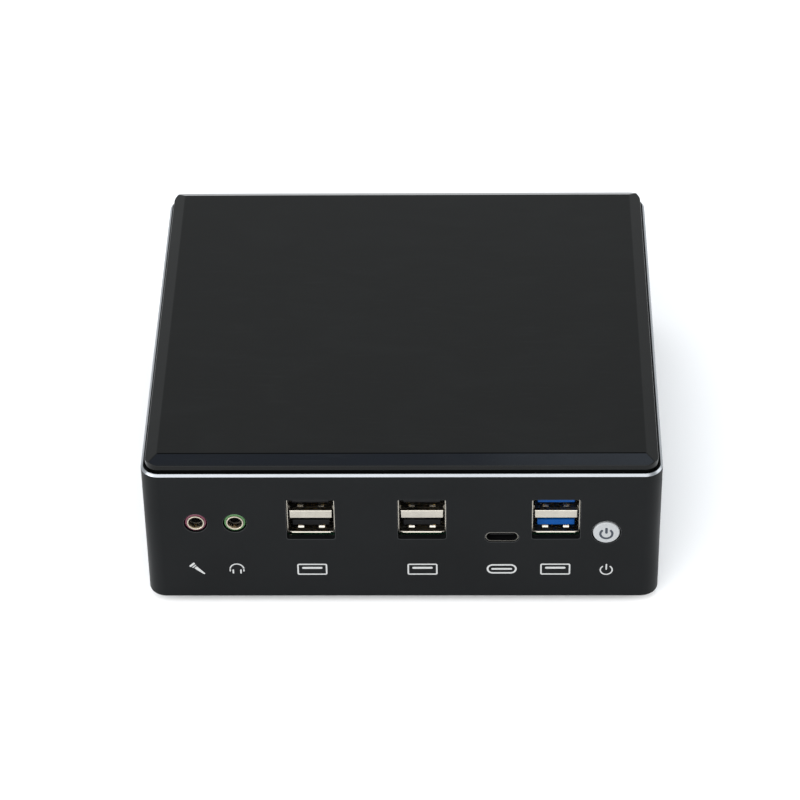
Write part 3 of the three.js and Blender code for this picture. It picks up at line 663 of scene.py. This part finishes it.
def upright_slots(axis, face, across, middle_up, height, pitch, count):
    """Cutting tools for a row of upright slots through the wall at a face."""
    half = Vector((VENT_WIDTH, VENT_WIDTH, height)) / 2
    half["xyz".index(axis)] = REACH
    tools = []
    for i in range(count):
        place = across + (i - (count - 1) / 2) * pitch
        middle = (face, place, middle_up) if axis == "x" else (place, face, middle_up)
        tools.append(stadium_block("slot", Vector(middle) - half, Vector(middle) + half, axis))
    return tools


def rear_tools():
    fins_low, fins_high = node_box("fin_stack")
    tools = [round_hole(REAR, node_middle("power_inlet_pin"), INLET_HOLE)]
    tools.append(window(REAR, "network_port_shell", REAR_GAP, radius=0.5))
    for socket, corners in VIDEO_SOCKETS.items():
        tools.append(slanted_window(f"{socket}_shell", corners))
    middle = (fins_low + fins_high) / 2
    height = fins_high.z - fins_low.z - 0.6
    return tools + upright_slots("y", REAR, middle.x, middle.z, height, **EXHAUST)


def side_tools():
    sides = (FRAME_LOW.x, FRAME_HIGH.x)
    return [tool for side in sides for tool in upright_slots("x", side, 0, **SIDE_VENT)]


def make_body():
    """The aluminium ring: rounded corners, a chamfered rim and a seat for the lid."""
    top = Vector((FRAME_HIGH.x, FRAME_HIGH.y, RIM - RIM_CHAMFER))
    ring = rounded_block("body_shell", FRAME_LOW, top, "z", CORNER_RADIUS, 16)
    pick(ring, "FACE", facing((0, 0, 1)))
    inset(RIM_CHAMFER, RIM_CHAMFER)
    inset(LIP_FLAT)
    extrude(z=-LEDGE_DEPTH)
    inset(WALL - RIM_CHAMFER - LIP_FLAT)
    extrude(z=-(RIM - LEDGE_DEPTH - FRAME_LOW.z))
    bpy.ops.mesh.delete(type="FACE")
    done()
    pick(ring, "FACE", facing((0, 0, -1)))
    inset(WALL)
    bpy.ops.mesh.delete(type="FACE")
    bpy.ops.mesh.select_all(action="SELECT")
    bpy.ops.mesh.remove_doubles(threshold=0.01 * MM)
    bpy.ops.mesh.normals_make_consistent(inside=False)
    done()

    coated(ring, ANODISED, ANODISED_EDGE, CUT_EDGE)
    combined(ring, front_tools() + rear_tools() + side_tools())

    def window_edge(spot, way):
        if not FRAME_LOW.z + 1 < spot.z < RIM - RIM_CHAMFER - 1:
            return False
        past_x, past_y = abs(spot.x) - FRAME_HIGH.x, abs(spot.y) - REAR
        flat = -CORNER_RADIUS - 0.5
        on_end = abs(past_y) < 0.001 and past_x < flat
        on_side = abs(past_x) < 0.001 and past_y < flat
        return on_end or on_side

    def outer_underside(spot, way):
        outwards = max(abs(spot.x) / FRAME_HIGH.x, abs(spot.y) / REAR)
        return abs(spot.z - FRAME_LOW.z) < 0.001 and abs(way.z) < 0.1 and outwards > 0.975

    round_edges(ring, window_edge, WINDOW_EDGE, 2, material=1)
    round_edges(ring, outer_underside, UNDERSIDE_EDGE, 3)
    round_edges(ring, in_plane("z", RIM - RIM_CHAMFER), RIM_EDGE, 2)

    paint(ring, 2, lambda spot, normal: spot.z > RIM - RIM_CHAMFER and 0.5 < normal.z < 0.9)
    placed(polished(ring, 28), slot="anodised_black", replaces=["body_frame"])


# ---- Lid --------------------------------------------------------------------

LID_LOW, LID_HIGH = node_box("top_cover")
LID_SKIRT = RIM - LEDGE_DEPTH + 0.3
LID_EDGE = 0.7  # underside of the lid's outer wall, above the rim
LID_SHOULDER = 2.2
LID_FLAT_INSET = 3.45
LID_CORNER = 3.75
LID_STEP = 0.5  # the wall below that edge stands this far back
LID_WALL = 1.6


def make_lid():
    """The lid: a rounded block cut to four mitred slopes, with softened edges."""
    low = Vector((LID_LOW.x, LID_LOW.y, RIM + LID_EDGE))
    lid = rounded_block("lid_shell", low, LID_HIGH, "z", LID_CORNER, 14)
    shoulder = RIM + LID_SHOULDER
    rise = LID_HIGH.z - shoulder
    for side in (AXES["x"], -AXES["x"], AXES["y"], -AXES["y"]):
        half = abs(side.dot(LID_HIGH))
        pick(lid, "FACE", lambda spot, normal: True)
        bpy.ops.mesh.bisect(
            plane_co=(side * half + Vector((0, 0, shoulder))) * MM,
            plane_no=(side * rise + Vector((0, 0, LID_FLAT_INSET))).normalized(),
            use_fill=True,
            clear_outer=True,
        )
        done()
    pick(lid, "FACE", lambda spot, normal: normal.z < -0.9)
    inset(LID_STEP)
    extrude(z=LID_SKIRT - RIM - LID_EDGE)
    inset(LID_WALL)
    extrude(z=shoulder - LID_SKIRT - 0.1)
    done()
    bevelled(lid, 0.2, segments=4, degrees=14)
    slope = Vector((rise, LID_FLAT_INSET)).normalized().y
    coated(lid, GLOSS_LID, LID_EDGE_DARK_REFLECTION)
    # The bevels between the flat top and the front and rear slopes get the painted dark reflection.
    across = lambda normal: abs(normal.x) < 0.05 and slope + 0.002 < normal.z < 0.9998
    paint(lid, 1, lambda spot, normal: across(normal) and spot.z > shoulder + 1)
    placed(polished(lid, 40), slot="gloss_black", replaces=["top_cover", "lid_frame"])


# ---- Underside --------------------------------------------------------------

CORNERS = ("front_left", "front_right", "rear_left", "rear_right")
FOOT_RIM = 1.1
FOOT_DISH = 0.3


def make_feet():
    """One turned rubber foot with a dished face, copied to each corner."""
    first = node_middle("rubber_foot_front_left")
    low, high = node_box("rubber_foot_front_left")
    radius = (high.x - low.x) / 2
    foot = bar("foot_front_left", "z", low.z, high.z, first, radius, 64)
    pick(foot, "FACE", facing((0, 0, -1)))
    inset(FOOT_RIM)
    inset(0.5, -FOOT_DISH)
    inset(0.8)
    done()
    bevelled(foot, 0.35, segments=4, degrees=60)
    polished(foot, 40)
    for corner in CORNERS[1:]:
        shift = node_middle(f"rubber_foot_{corner}") - first
        copy = copied(foot, f"foot_{corner}", shift)
        placed(copy, RUBBER, slot="foot_rubber", replaces=[f"rubber_foot_{corner}"])
    placed(foot, RUBBER, slot="foot_rubber", replaces=["rubber_foot_front_left"])


# ---- Audio jacks ------------------------------------------------------------

JACK_COLLAR = 2.92
JACK_RING = 2.36
JACK_MOUTH = 1.96
JACK_CORE = 1.75
JACK_RING_DEPTH = 2.2
JACK_CORE_DEPTH = 7
JACK_SPRING = ((2.4, 1.62), (3, 1.5), (3.8, 1.05), (4.6, 0.95), (5.6, 1.3))


def make_jack(name, plastic, slot):
    """A coloured collar on its block, and a plated ring with a black core."""
    low, high = node_box(f"{name}_jack_body")
    ring_low, ring_high = node_box(f"{name}_jack_ring")
    middle = (ring_low + ring_high) / 2
    face = FRONT + WALL + SHOULDER_GAP
    shell = rounded_block(f"{name}_collar", (low.x, face, low.z), high, "y", 0.4)
    nose = bar("nose", "y", low.y, face + 1, middle, JACK_COLLAR, 64)
    bore = bar("bore", "y", low.y - 1, high.y - 2, middle, JACK_RING + 0.02, 64)
    combined(shell, [nose], "UNION")
    combined(shell, [bore])
    rim = in_plane("y", low.y)
    outer = lambda spot: (spot - middle).xz.length > (JACK_RING + JACK_COLLAR) / 2
    round_edges(shell, lambda spot, way: rim(spot, way) and outer(spot), 0.3)
    placed(polished(shell), plastic, slot=slot, replaces=[f"{name}_jack_body"])

    ring = bar(f"{name}_ring", "y", ring_low.y, ring_high.y, middle, JACK_RING, 64)
    edge = 0.08
    pick(ring, "FACE", facing((0, -1, 0)))
    inset(edge, edge)
    inset(JACK_RING - JACK_MOUTH - 2 * edge)
    inset(edge, -edge)
    extrude(y=JACK_RING_DEPTH)
    inset(JACK_MOUTH - JACK_CORE)
    extrude(y=JACK_CORE_DEPTH)
    done()
    coated(ring, RING_NICKEL, BLACK_PLASTIC)
    core = ring_low.y + JACK_RING_DEPTH - 0.1
    paint(ring, 1, lambda spot, way: spot.y > core and (spot - middle).xz.length < JACK_MOUTH)
    placed(polished(ring, 50), slot="plated_steel", replaces=[f"{name}_jack_ring"])

    path = [(ring_low.y + y, middle.z + z) for y, z in JACK_SPRING]
    spring = polished(strip(f"{name}_spring", middle.x, 0.8, path, 0.16))
    placed(spring, GOLD, slot="plated_steel")


# ---- Double data ports ------------------------------------------------------

STACK_SHEET = 0.42
STACK_SILL = 0.5  # the can stands this far above the window's lower edge
STACK_DIVIDER = 2.75
STACK_DIVIDER_GAP = 0.36
STACK_TONGUE = 1.8
STACK_TONGUE_WIDTH = 10.1
FINGER = ((1.7, -0.1), (1.95, 0.28), (2.2, 0.58), (2.7, 0.76), (4.6, 0.45), (8, -0.12))
LIP = ((0.5, 0.42), (0.25, 0.42), (0.05, 0.36), (-0.06, 0.24), (-0.1, 0.12))
CONTACTS_X = (-3.5, -1, 1, 3.5)
FINGER_X = 2.82
FINGER_WIDTH = 1.55
LIP_WIDTH = 10.5
CAN_DEPTH = 15.5
DIVIDER_DEPTH = 14
TONGUE_ROOT = 12.9  # the back block starts this far behind the can's mouth
TONGUE_DROP = 0.75  # from an opening's top to its tongue


def stack_openings(low, high):
    """The heights of the two openings: below and above the divider."""
    middle = (low.z + high.z) / 2
    return (
        (low.z + STACK_SILL + STACK_SHEET, middle - STACK_DIVIDER / 2),
        (middle + STACK_DIVIDER / 2, high.z - STACK_SHEET),
    )


def stack_divider(low, high):
    """The bar between the two openings, with an ear in each side of the can."""
    middle = (low + high) / 2
    inner = high.x - middle.x - STACK_SHEET - STACK_DIVIDER_GAP
    divider = slab("divider", middle, inner, STACK_DIVIDER / 2, low.y, low.y + DIVIDER_DEPTH)
    round_edges(divider, in_plane("y", low.y), 0.28)
    pieces = [divider]
    for way in (-1, 1):
        x = middle.x + way * (inner - 0.1)
        ear = block("ear", (x - 0.5, low.y + 3, middle.z - 0.6), (x + 0.5, low.y + 6, middle.z + 0.6))
        pieces.append(bevelled(ear, 0.1))
    return pieces


def stack_fingers(low, high):
    """Two sprung fingers on the floor of each opening; the lower pair stands higher."""
    middle = (low + high) / 2
    fingers = []
    for floor, _ in stack_openings(low, high):
        rise = 0.92 if floor < middle.z else 0.5
        path = [(low.y + y, floor + z * rise) for y, z in FINGER]
        for way in (-1, 1):
            fingers.append(strip("finger", middle.x + way * FINGER_X, FINGER_WIDTH, path, 0.22))
    return fingers


def make_stack_shell(side):
    """A folded sheet can with its divider, lip and fingers, over a black block that is painted shade.
    """
    low, high = node_box(f"data_stack_{side}_shell")
    sill = low.z + STACK_SILL
    can = rounded_block(f"stack_can_{side}", (low.x, low.y, sill), high, "y", 0.3)
    pick(can, "FACE", facing((0, -1, 0)))
    inset(STACK_SHEET)
    extrude(y=CAN_DEPTH)
    done()
    round_edges(can, in_plane("y", low.y), 0.1, 2)
    divider, *ears = stack_divider(low, high)
    fingers = stack_fingers(low, high)
    path = [(low.y + y, sill + z) for y, z in LIP]
    lip = strip("lip", (low.x + high.x) / 2, LIP_WIDTH, path, 0.12)
    whole = joined(f"stack_can_{side}", [can, divider, lip, *ears, *fingers])
    placed(polished(whole, 35), NICKEL, slot="plated_steel", replaces=[f"data_stack_{side}_shell"])

    # Under the can a black block fills the bottom of the window: painted shade, not a part of the
    # socket.
    shade_block_low = Vector((low.x + 0.3, low.y + 0.4, low.z))
    base = block(f"stack_shade_block_{side}", shade_block_low, (high.x - 0.3, low.y + 16, sill))
    placed(polished(bevelled(base, 0.1)), TONGUE_PLASTIC_AND_SHADE, slot="black_plastic")


def make_stack_tongues(side, plastic, slot):
    """The insulator: a back block with two tongues, and its gold contacts."""
    low, high = node_box(f"data_stack_{side}_insulator")
    shell_low, shell_high = node_box(f"data_stack_{side}_shell")
    middle = (shell_low + shell_high) / 2
    root = shell_low.y + TONGUE_ROOT
    whole = rounded_block(f"stack_tongues_{side}", (low.x, root, low.z), high, "y", 0.4)
    tongues = []
    contacts = []
    for _, ceiling in stack_openings(shell_low, shell_high):
        top = ceiling - TONGUE_DROP
        bottom = top - STACK_TONGUE
        half = STACK_TONGUE_WIDTH / 2
        tongue = block("tongue", (middle.x - half, low.y, bottom), (middle.x + half, root + 1, top))
        round_edges(tongue, in_plane("y", low.y), 0.22, 3)
        tongues.append(tongue)
        tip = low.y + 0.9
        for x in (middle.x + place for place in CONTACTS_X):
            contact = block("contact", (x - 0.5, tip, bottom - 0.08), (x + 0.5, root, bottom + 0.3))
            round_edges(contact, in_plane("y", tip, "x"), 0.07, 2)
            contacts.append(contact)
    combined(whole, tongues, "UNION")
    placed(polished(whole), plastic, slot=slot, replaces=[f"data_stack_{side}_insulator"])
    placed(polished(joined(f"stack_contacts_{side}", contacts)), GOLD, slot="copper")


# ---- Slim oval port ---------------------------------------------------------

SLIM_SHIFT = Vector((0, 0.3, 0.08))  # forward and down from the CAD tube
SLIM_SHEET = 0.22
SLIM_MOUTH = 0.4  # how far in the bare metal shows; deeper in, the tube's inside is painted black as shade
SLIM_DEPTH = 9
SLIM_TONGUE = Vector((3.35, 0, 0.35))  # half its width and thickness
SLIM_PIN_LENGTH = 4


def contact_row(middle, count, pitch, half_width, half_height, tip, root, radius):
    """Contacts that show on both faces of a tongue, rounded at their tips."""
    row = []
    for i in range(count):
        x = middle.x + (i - (count - 1) / 2) * pitch
        low = (x - half_width, min(tip, root), middle.z - half_height)
        high = (x + half_width, max(tip, root), middle.z + half_height)
        contact = block("contact", low, high)
        round_edges(contact, in_plane("y", tip, "x"), radius, 1)
        row.append(contact)
    return row


def make_slim_port():
    """A drawn steel tube round a tongue with rows of gold contacts."""
    low, high = node_box("slim_port_shell")
    low -= SLIM_SHIFT
    tube = stadium_block("slim_tube", low, high, "y", 12)
    pick(tube, "FACE", facing((0, -1, 0)))
    inset(SLIM_SHEET)
    extrude(y=SLIM_MOUTH)
    extrude(y=SLIM_DEPTH - SLIM_MOUTH)
    done()
    round_edges(tube, in_plane("y", low.y), 0.07, 2)
    middle = (low + high) / 2
    radius = (high.z - low.z) / 2
    reach = (high.x - low.x) / 2 - radius

    def inside(spot, normal):
        aside = max(abs(spot.x - middle.x) - reach, 0)
        inwards = math.hypot(aside, spot.z - middle.z) < radius - SLIM_SHEET / 2
        return spot.y > low.y + SLIM_MOUTH + 0.05 and inwards

    # Past the mouth the tube's inner faces are painted black: painted shade over the plated metal.
    coated(tube, DULL_NICKEL, TONGUE_PLASTIC_AND_SHADE)
    paint(tube, 1, inside)
    placed(polished(tube), slot="plated_steel", replaces=["slim_port_shell"])

    inner_low, inner_high = node_box("slim_port_insulator")
    half = SLIM_TONGUE
    tongue = slab("slim_tongue", middle, half.x, half.z, inner_low.y, inner_high.y)
    round_edges(tongue, in_plane("y", inner_low.y), 0.16, 3)
    plug = stadium_block("plug", (inner_low.x, low.y + 5.8, inner_low.z), inner_high, "y")
    combined(tongue, [plug], "UNION")
    placed(polished(tongue), TONGUE_PLASTIC_AND_SHADE, slot="black_plastic", replaces=["slim_port_insulator"])

    tip = inner_low.y + 1.4
    root = tip + SLIM_PIN_LENGTH
    pins = contact_row(middle, 12, 0.5, 0.13, half.z + 0.03, tip, root, 0.03)
    placed(polished(joined("slim_contacts", pins)), GOLD, slot="copper")


# ---- Power button -----------------------------------------------------------

BUTTON_RADIUS = 3.6
BUTTON_STEM = 1.2
INK_PROUD = 0.015  # the sign stands this far above the cap's face
SIGN_RADIUS = 1.62


def power_sign(name, middle, width, front, back, gap):
    """A broken ring with an upright stroke in its gap; the gap is in degrees."""
    ring = arc_stroke(name, middle, SIGN_RADIUS, width, gap, 360 - 2 * gap, front, back)
    x, _, z = middle
    half = width * 0.55
    stroke = stadium_block("stroke", (x - half, front, z + 0.05), (x + half, back, z + 2.15), "y")
    return joined(name, [ring, stroke])


def make_button():
    """The cap with its flange and stem, and the sign printed on it."""
    low, high = node_box("power_button")
    middle = (low + high) / 2
    flange_face = FRONT + WALL + SHOULDER_GAP
    cap = bar("button_cap", "y", low.y, flange_face, middle, BUTTON_RADIUS, 96)
    pick(cap, "FACE", facing((0, 1, 0)))
    flange = (high.x - low.x) / 2
    inset(0.01)
    grow = flange / (BUTTON_RADIUS - 0.01)
    bpy.ops.transform.resize(value=(grow, 1, grow), center_override=middle * MM)
    extrude(y=1)
    inset(flange - BUTTON_STEM)
    extrude(y=high.y - flange_face - 1)
    done()
    face = low.y + INK_PROUD
    pick(cap, "FACE", facing((0, -1, 0)))
    bpy.ops.transform.translate(value=(0, INK_PROUD * MM, 0))
    done()
    round_edges(cap, in_plane("y", face), 0.35, 6)
    placed(polished(cap), SILVER_CAP, body="button", slot="silver_plastic", replaces=["power_button"])
    spot = middle - Vector((0, 0, 0.3))
    sign = power_sign("button_sign", spot, 0.62, low.y, low.y + 0.03, 38)
    placed(polished(sign), DARK_INK, body="button", slot="black_plastic")


# ---- Printed signs under the ports -------------------------------------------

SIGN_UP = 9.9
SIGN_WIDTH = 8.2
BAND_RADIUS = 1.87
BAND_STROKE = 0.36
PRINT_FRONT = FRONT - 0.025
PRINT_BACK = FRONT + 0.02


def outline(name, x, z, width, height, radius, stroke, segments=8):
    """A printed rounded outline."""

    def sized(label, w, h, r, grow):
        low = (x - w / 2, PRINT_FRONT - grow, z - h / 2)
        high = (x + w / 2, PRINT_BACK + grow, z + h / 2)
        return rounded_block(label, low, high, "y", r, segments)

    whole = sized(name, width, height, radius, 0)
    hole = sized("hole", width - 2 * stroke, height - 2 * stroke, max(0.1, radius - stroke), 1)
    return combined(whole, [hole])


def printed_bar(x, z, width, height):
    low = (x - width / 2, PRINT_FRONT, z - height / 2)
    high = (x + width / 2, PRINT_BACK, z + height / 2)
    return stadium_block("bar", low, high, "y", 5)


def make_signs():
    up = FRAME_LOW.z + SIGN_UP
    signs = []
    for side in STACKS:
        x = node_middle(f"data_stack_{side}_shell").x
        frame_line = outline(f"sign_data_{side}", x, up, SIGN_WIDTH, 4, 0.55, 0.42)
        tongue = printed_bar(x, up + 0.5, 5.6, 0.7)
        signs.append(joined(f"sign_data_{side}", [frame_line, tongue]))

    slim = node_middle("slim_port_shell").x
    pill = outline("sign_slim", slim, up + 0.1, SIGN_WIDTH, 3.4, 1.69, 0.5, 12)
    signs.append(joined("sign_slim", [pill, printed_bar(slim, up + 0.1, 5.7, 0.6)]))

    ears = node_middle("headphone_jack_ring").x
    head = Vector((ears - 0.1, 0, up + 0.06))
    half_turn = (-90, 180, PRINT_FRONT, PRINT_BACK, 24)
    band = arc_stroke("sign_headphones", head, BAND_RADIUS, BAND_STROKE, *half_turn)
    strokes = [band]
    for reach, drop, width, height in ((BAND_RADIUS, 0.3, BAND_STROKE, 1.1), (1.05, 0.85, 0.42, 1.5)):
        for way in (-1, 1):
            strokes.append(printed_bar(head.x + way * reach, head.z - drop, width, height))
    signs.append(joined("sign_headphones", strokes))

    button = node_middle("power_button")
    place = Vector((button.x + 0.3, 0, up - 0.3))
    signs.append(power_sign("sign_power", place, 0.37, PRINT_FRONT, PRINT_BACK, 35))
    signs.append(make_microphone_sign(node_middle("microphone_jack_ring").x, up))
    for sign in signs:
        placed(polished(sign), WHITE_INK, slot="silver_plastic")


def make_microphone_sign(x, up):
    """A stick microphone lying at a slant: a wide head on a tapered handle."""
    half = (PRINT_BACK - PRINT_FRONT) / 2
    handle = block("sign_microphone", (-0.95, -half, -0.5), (2.5, half, 0.5))
    pick(handle, "FACE", facing((1, 0, 0)))
    bpy.ops.transform.resize(value=(1, 1, 0.45))
    done()
    round_edges(handle, lambda spot, way: abs(way.y) > 0.99, 0.18, 3)
    head = rounded_block("head", (-2.5, -half, -0.95), (-1.85, half, 0.95), "y", 0.3)
    neck = stadium_block("neck", (-1.58, -half, -0.7), (-1.22, half, 0.7), "y")
    sign = joined("sign_microphone", [handle, head, neck])
    sign.rotation_euler = (0, math.radians(45), 0)
    sign.location = Vector((x - 0.15, (PRINT_FRONT + PRINT_BACK) / 2, up + 0.1)) * MM
    settle(sign)
    return sign


# ---- Rear sockets -----------------------------------------------------------

INLET_NOSE = 3.7
INLET_BORE = 3.05
INLET_PIN = 1
NETWORK_STEPS = ((6, -5, 2.6), (3.2, 2.4, 4), (1.7, 3.8, 5.2))  # half width, low, high
NETWORK_WIRE = ((2.5, -4.9), (3, -4.4), (9, -2.2), (9.6, -2.3), (9.9, -2.8))
WIRE_PITCH = 1.02
LIGHT_X = 5.3
SOCKET_SHEET = 0.4
NETWORK_DEPTH = 15
NETWORK_CAVITY = 12.5
VIDEO_DEPTH = 8


def make_power_inlet():
    """The round inlet: a black nose in the panel and a plated pin in its bore."""
    low, high = node_box("power_inlet_body")
    middle = node_middle("power_inlet_pin")
    face = REAR - WALL - SHOULDER_GAP
    shell = rounded_block("inlet_block", low, (high.x, face, high.z), "y", 0.5)
    nose = bar("nose", "y", face - 1, high.y, middle, INLET_NOSE, 64)
    bore = bar("bore", "y", low.y + 2, high.y + 1, middle, INLET_BORE, 64)
    combined(shell, [nose], "UNION")
    combined(shell, [bore])
    round_edges(shell, in_plane("y", high.y), 0.18, 3)
    placed(polished(shell), BLACK_PLASTIC, slot="black_plastic", replaces=["power_inlet_body"])

    pin_low, pin_high = node_box("power_inlet_pin")
    pin = bar("inlet_pin", "y", pin_low.y, pin_high.y, middle, INLET_PIN, 32)
    round_edges(pin, in_plane("y", pin_high.y), 0.5, 5)
    placed(polished(pin), RING_NICKEL, slot="plated_steel", replaces=["power_inlet_pin"])


def make_network_port():
    """The network socket: a sheet can, a stepped cavity, eight wires, two windows."""
    low, high = node_box("network_port_shell")
    can = rounded_block("network_can", low, high, "y", 0.5)
    pick(can, "FACE", facing((0, 1, 0)))
    inset(SOCKET_SHEET)
    extrude(y=-NETWORK_DEPTH)
    done()
    round_edges(can, in_plane("y", high.y), 0.1, 2)
    placed(polished(can), NICKEL, slot="plated_steel", replaces=["network_port_shell"])

    inner_low, inner_high = node_box("network_port_insert")
    middle = (low + high) / 2
    insert = rounded_block("network_insert", inner_low, inner_high, "y", 0.2)
    for half, base, top in NETWORK_STEPS:
        start = (middle.x - half, inner_high.y - NETWORK_CAVITY, middle.z + base)
        end = (middle.x + half, inner_high.y + 1, middle.z + top)
        combined(insert, [block("step", start, end)])
    round_edges(insert, in_plane("y", inner_high.y), 0.12, 2)
    placed(polished(insert), BLACK_PLASTIC, slot="black_plastic", replaces=["network_port_insert"])

    path = [(inner_high.y - y, middle.z + z) for y, z in NETWORK_WIRE]
    wires = []
    for i in range(8):
        x = middle.x + (i - 3.5) * WIRE_PITCH
        wires.append(strip("wire", x, 0.36, path, 0.3))
    placed(polished(joined("network_wires", wires)), GOLD, slot="copper")

    for name, way, finish in (("left", -1, GREEN_LENS), ("right", 1, AMBER_LENS)):
        x = middle.x + way * LIGHT_X
        start = (x - 1.3, inner_high.y - 2, middle.z + 3.6)
        end = (x + 1.3, inner_high.y + 0.08, middle.z + 5.2)
        lens = rounded_block(f"network_light_{name}", start, end, "y", 0.25)
        placed(polished(bevelled(lens, 0.06)), finish, slot="clear_plastic")


def make_flat_port(name, corners):
    """A flat video socket: a folded sheet tube, a tongue and its contacts."""
    low, high = node_box(f"{name}_shell")
    middle = (low + high) / 2
    tube = slanted(block(f"{name}_tube", low, high), middle, corners)
    round_edges(tube, along("y"), 0.35, 3)
    pick(tube, "FACE", facing((0, 1, 0)))
    inset(SOCKET_SHEET)
    extrude(y=-VIDEO_DEPTH)
    done()
    round_edges(tube, in_plane("y", high.y), 0.09, 2)
    placed(polished(tube), NICKEL, slot="plated_steel", replaces=[f"{name}_shell"])

    half = (high.x - low.x) / 2 - 2
    tongue = slab(f"{name}_tongue", middle, half, 0.5, low.y + 1, high.y - 1)
    round_edges(tongue, in_plane("y", high.y - 1), 0.2, 3)
    placed(polished(tongue), BLACK_PLASTIC, slot="black_plastic", replaces=[f"{name}_insulator"])
    tip = high.y - 1.8
    pins = contact_row(middle, 10, 1, 0.22, 0.56, tip, low.y + 3, 0.05)
    placed(polished(joined(f"{name}_contacts", pins)), GOLD, slot="copper")


# ---- Nodes that keep their CAD shape -----------------------------------------

KEPT = (
    (POWDER, ("bottom_cover",)),
    (BOARD, ("motherboard", "storage_stick", "wireless_card")),
    (BOARD, ("memory_module_front", "memory_module_rear")),
    (BLACK_PLASTIC, ("power_switch_body", "power_switch_plunger", "processor")),
    (BLACK_PLASTIC, ("memory_socket_front", "memory_socket_rear")),
    (BLACK_PLASTIC, ("blower_housing", "blower_impeller")),
    (ALUMINIUM, ("heat_spreader", "fin_stack", "storage_drive")),
    (COPPER, ("heat_pipe", "blower_stator", "antenna_left", "antenna_right")),
    (NICKEL, ("coin_cell", "drive_bracket", "blower_cover")),
    (NICKEL, tuple(f"{use}_screw_{corner}" for use in ("cover", "board") for corner in CORNERS)),
    (CLEAR, ("power_led",)),
)


def finish_kept_nodes():
    for finish, names in KEPT:
        for name in names:
            coated(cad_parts[name], finish)


# ---- Stage ------------------------------------------------------------------


def make_floor():
    """A wide pale floor with the faintest grain."""
    bpy.ops.object.select_all(action="DESELECT")
    bpy.ops.mesh.primitive_plane_add(size=12, location=(0, 0, 0))
    floor = started("floor")
    finish = Finish("pale_floor", (0.97, 0.97, 0.97), 0.9, specular=0.1)
    finish.tint(finish.noise(60), (0.95, 0.95, 0.955), 0.3, 0.7, 0.5)
    floor.data.materials.append(finish.material)


def soft_light(name, place, size, power, colour=(1, 1, 1), target=(0, 0, 0)):
    data = bpy.data.lights.new(name, "AREA")
    data.shape = "RECTANGLE"
    data.size, data.size_y = size
    data.energy = power
    data.color = colour
    light = bpy.data.objects.new(name, data)
    bpy.context.scene.collection.objects.link(light)
    light.location = place
    aim = Vector(target) - Vector(place)
    light.rotation_euler = aim.to_track_quat("-Z", "Y").to_euler()


def make_lights():
    """An even surround before a white backdrop, a wide key, side fills and top strips."""
    world = bpy.data.worlds.new("studio")
    bpy.context.scene.world = world
    world.use_nodes = True
    nodes, links = world.node_tree.nodes, world.node_tree.links
    background = nodes["Background"]
    background.inputs["Color"].default_value = (0.96, 0.99, 1.0, 1)
    background.inputs["Strength"].default_value = 0.88
    backdrop = nodes.new("ShaderNodeBackground")
    backdrop.inputs["Color"].default_value = (1, 1, 1, 1)
    seen = nodes.new("ShaderNodeLightPath")
    mix = nodes.new("ShaderNodeMixShader")
    links.new(seen.outputs["Is Camera Ray"], mix.inputs["Fac"])
    links.new(background.outputs["Background"], mix.inputs[1])
    links.new(backdrop.outputs["Background"], mix.inputs[2])
    links.new(mix.outputs["Shader"], nodes["World Output"].inputs["Surface"])
    soft_light("key", (-0.5, -1.7, 1.3), (3.6, 2.4), 60)
    soft_light("left_fill", (-1.5, -0.9, 0.6), (1.2, 0.8), 15)
    soft_light("right_fill", (1.6, 0.2, 0.6), (1.2, 0.8), 8)
    soft_light("top_strip", (0.3, 0, 1.6), (0.5, 0.3), 0.9, (0.78, 0.88, 1), (0.3, 0, 0))
    soft_light("sky_strip", (0, 0, 1.7), (1.6, 0.3), 1.2, (0.25, 0.45, 1))


CAMERA_PLACE = (17.665, -740.45, 618.96)
CAMERA_PITCH = 38.954
CAMERA_YAW = 1.489
CAMERA_ROLL = -1.034
CAMERA_LENS = 149.57


def make_camera():
    pitch, yaw, roll = (math.radians(a) for a in (CAMERA_PITCH, CAMERA_YAW, CAMERA_ROLL))
    right = Vector((math.cos(yaw), math.sin(yaw), 0))
    ahead = Vector((
        -math.sin(yaw) * math.cos(pitch),
        math.cos(yaw) * math.cos(pitch),
        -math.sin(pitch),
    ))
    up = right.cross(ahead)
    across = right * math.cos(roll) + up * math.sin(roll)
    upward = -right * math.sin(roll) + up * math.cos(roll)
    turn = Matrix((across, upward, -ahead)).transposed().to_4x4()
    data = bpy.data.cameras.new("camera")
    data.lens = CAMERA_LENS
    data.sensor_width = 36
    data.clip_start, data.clip_end = 0.01, 50
    camera = bpy.data.objects.new("camera", data)
    bpy.context.scene.collection.objects.link(camera)
    camera.matrix_world = Matrix.Translation(Vector(CAMERA_PLACE) * MM) @ turn
    bpy.context.scene.camera = camera


make_camera()
make_lights()
make_floor()
make_body()
make_lid()
make_feet()
make_jack("microphone", PINK_PLASTIC, "pink_plastic")
make_jack("headphone", GREEN_PLASTIC, "green_plastic")
for stack_side in STACKS:
    plastic, plastic_slot = TONGUE_PLASTIC_AND_SHADE, "black_plastic"
    if stack_side == "right":
        plastic, plastic_slot = BLUE_PLASTIC, "blue_plastic"
    make_stack_shell(stack_side)
    make_stack_tongues(stack_side, plastic, plastic_slot)
make_slim_port()
make_button()
make_signs()
make_power_inlet()
make_network_port()
for socket, cut_corners in VIDEO_SOCKETS.items():
    make_flat_port(socket, cut_corners)
finish_kept_nodes()

bpy.context.scene.view_settings.view_transform = "Standard"
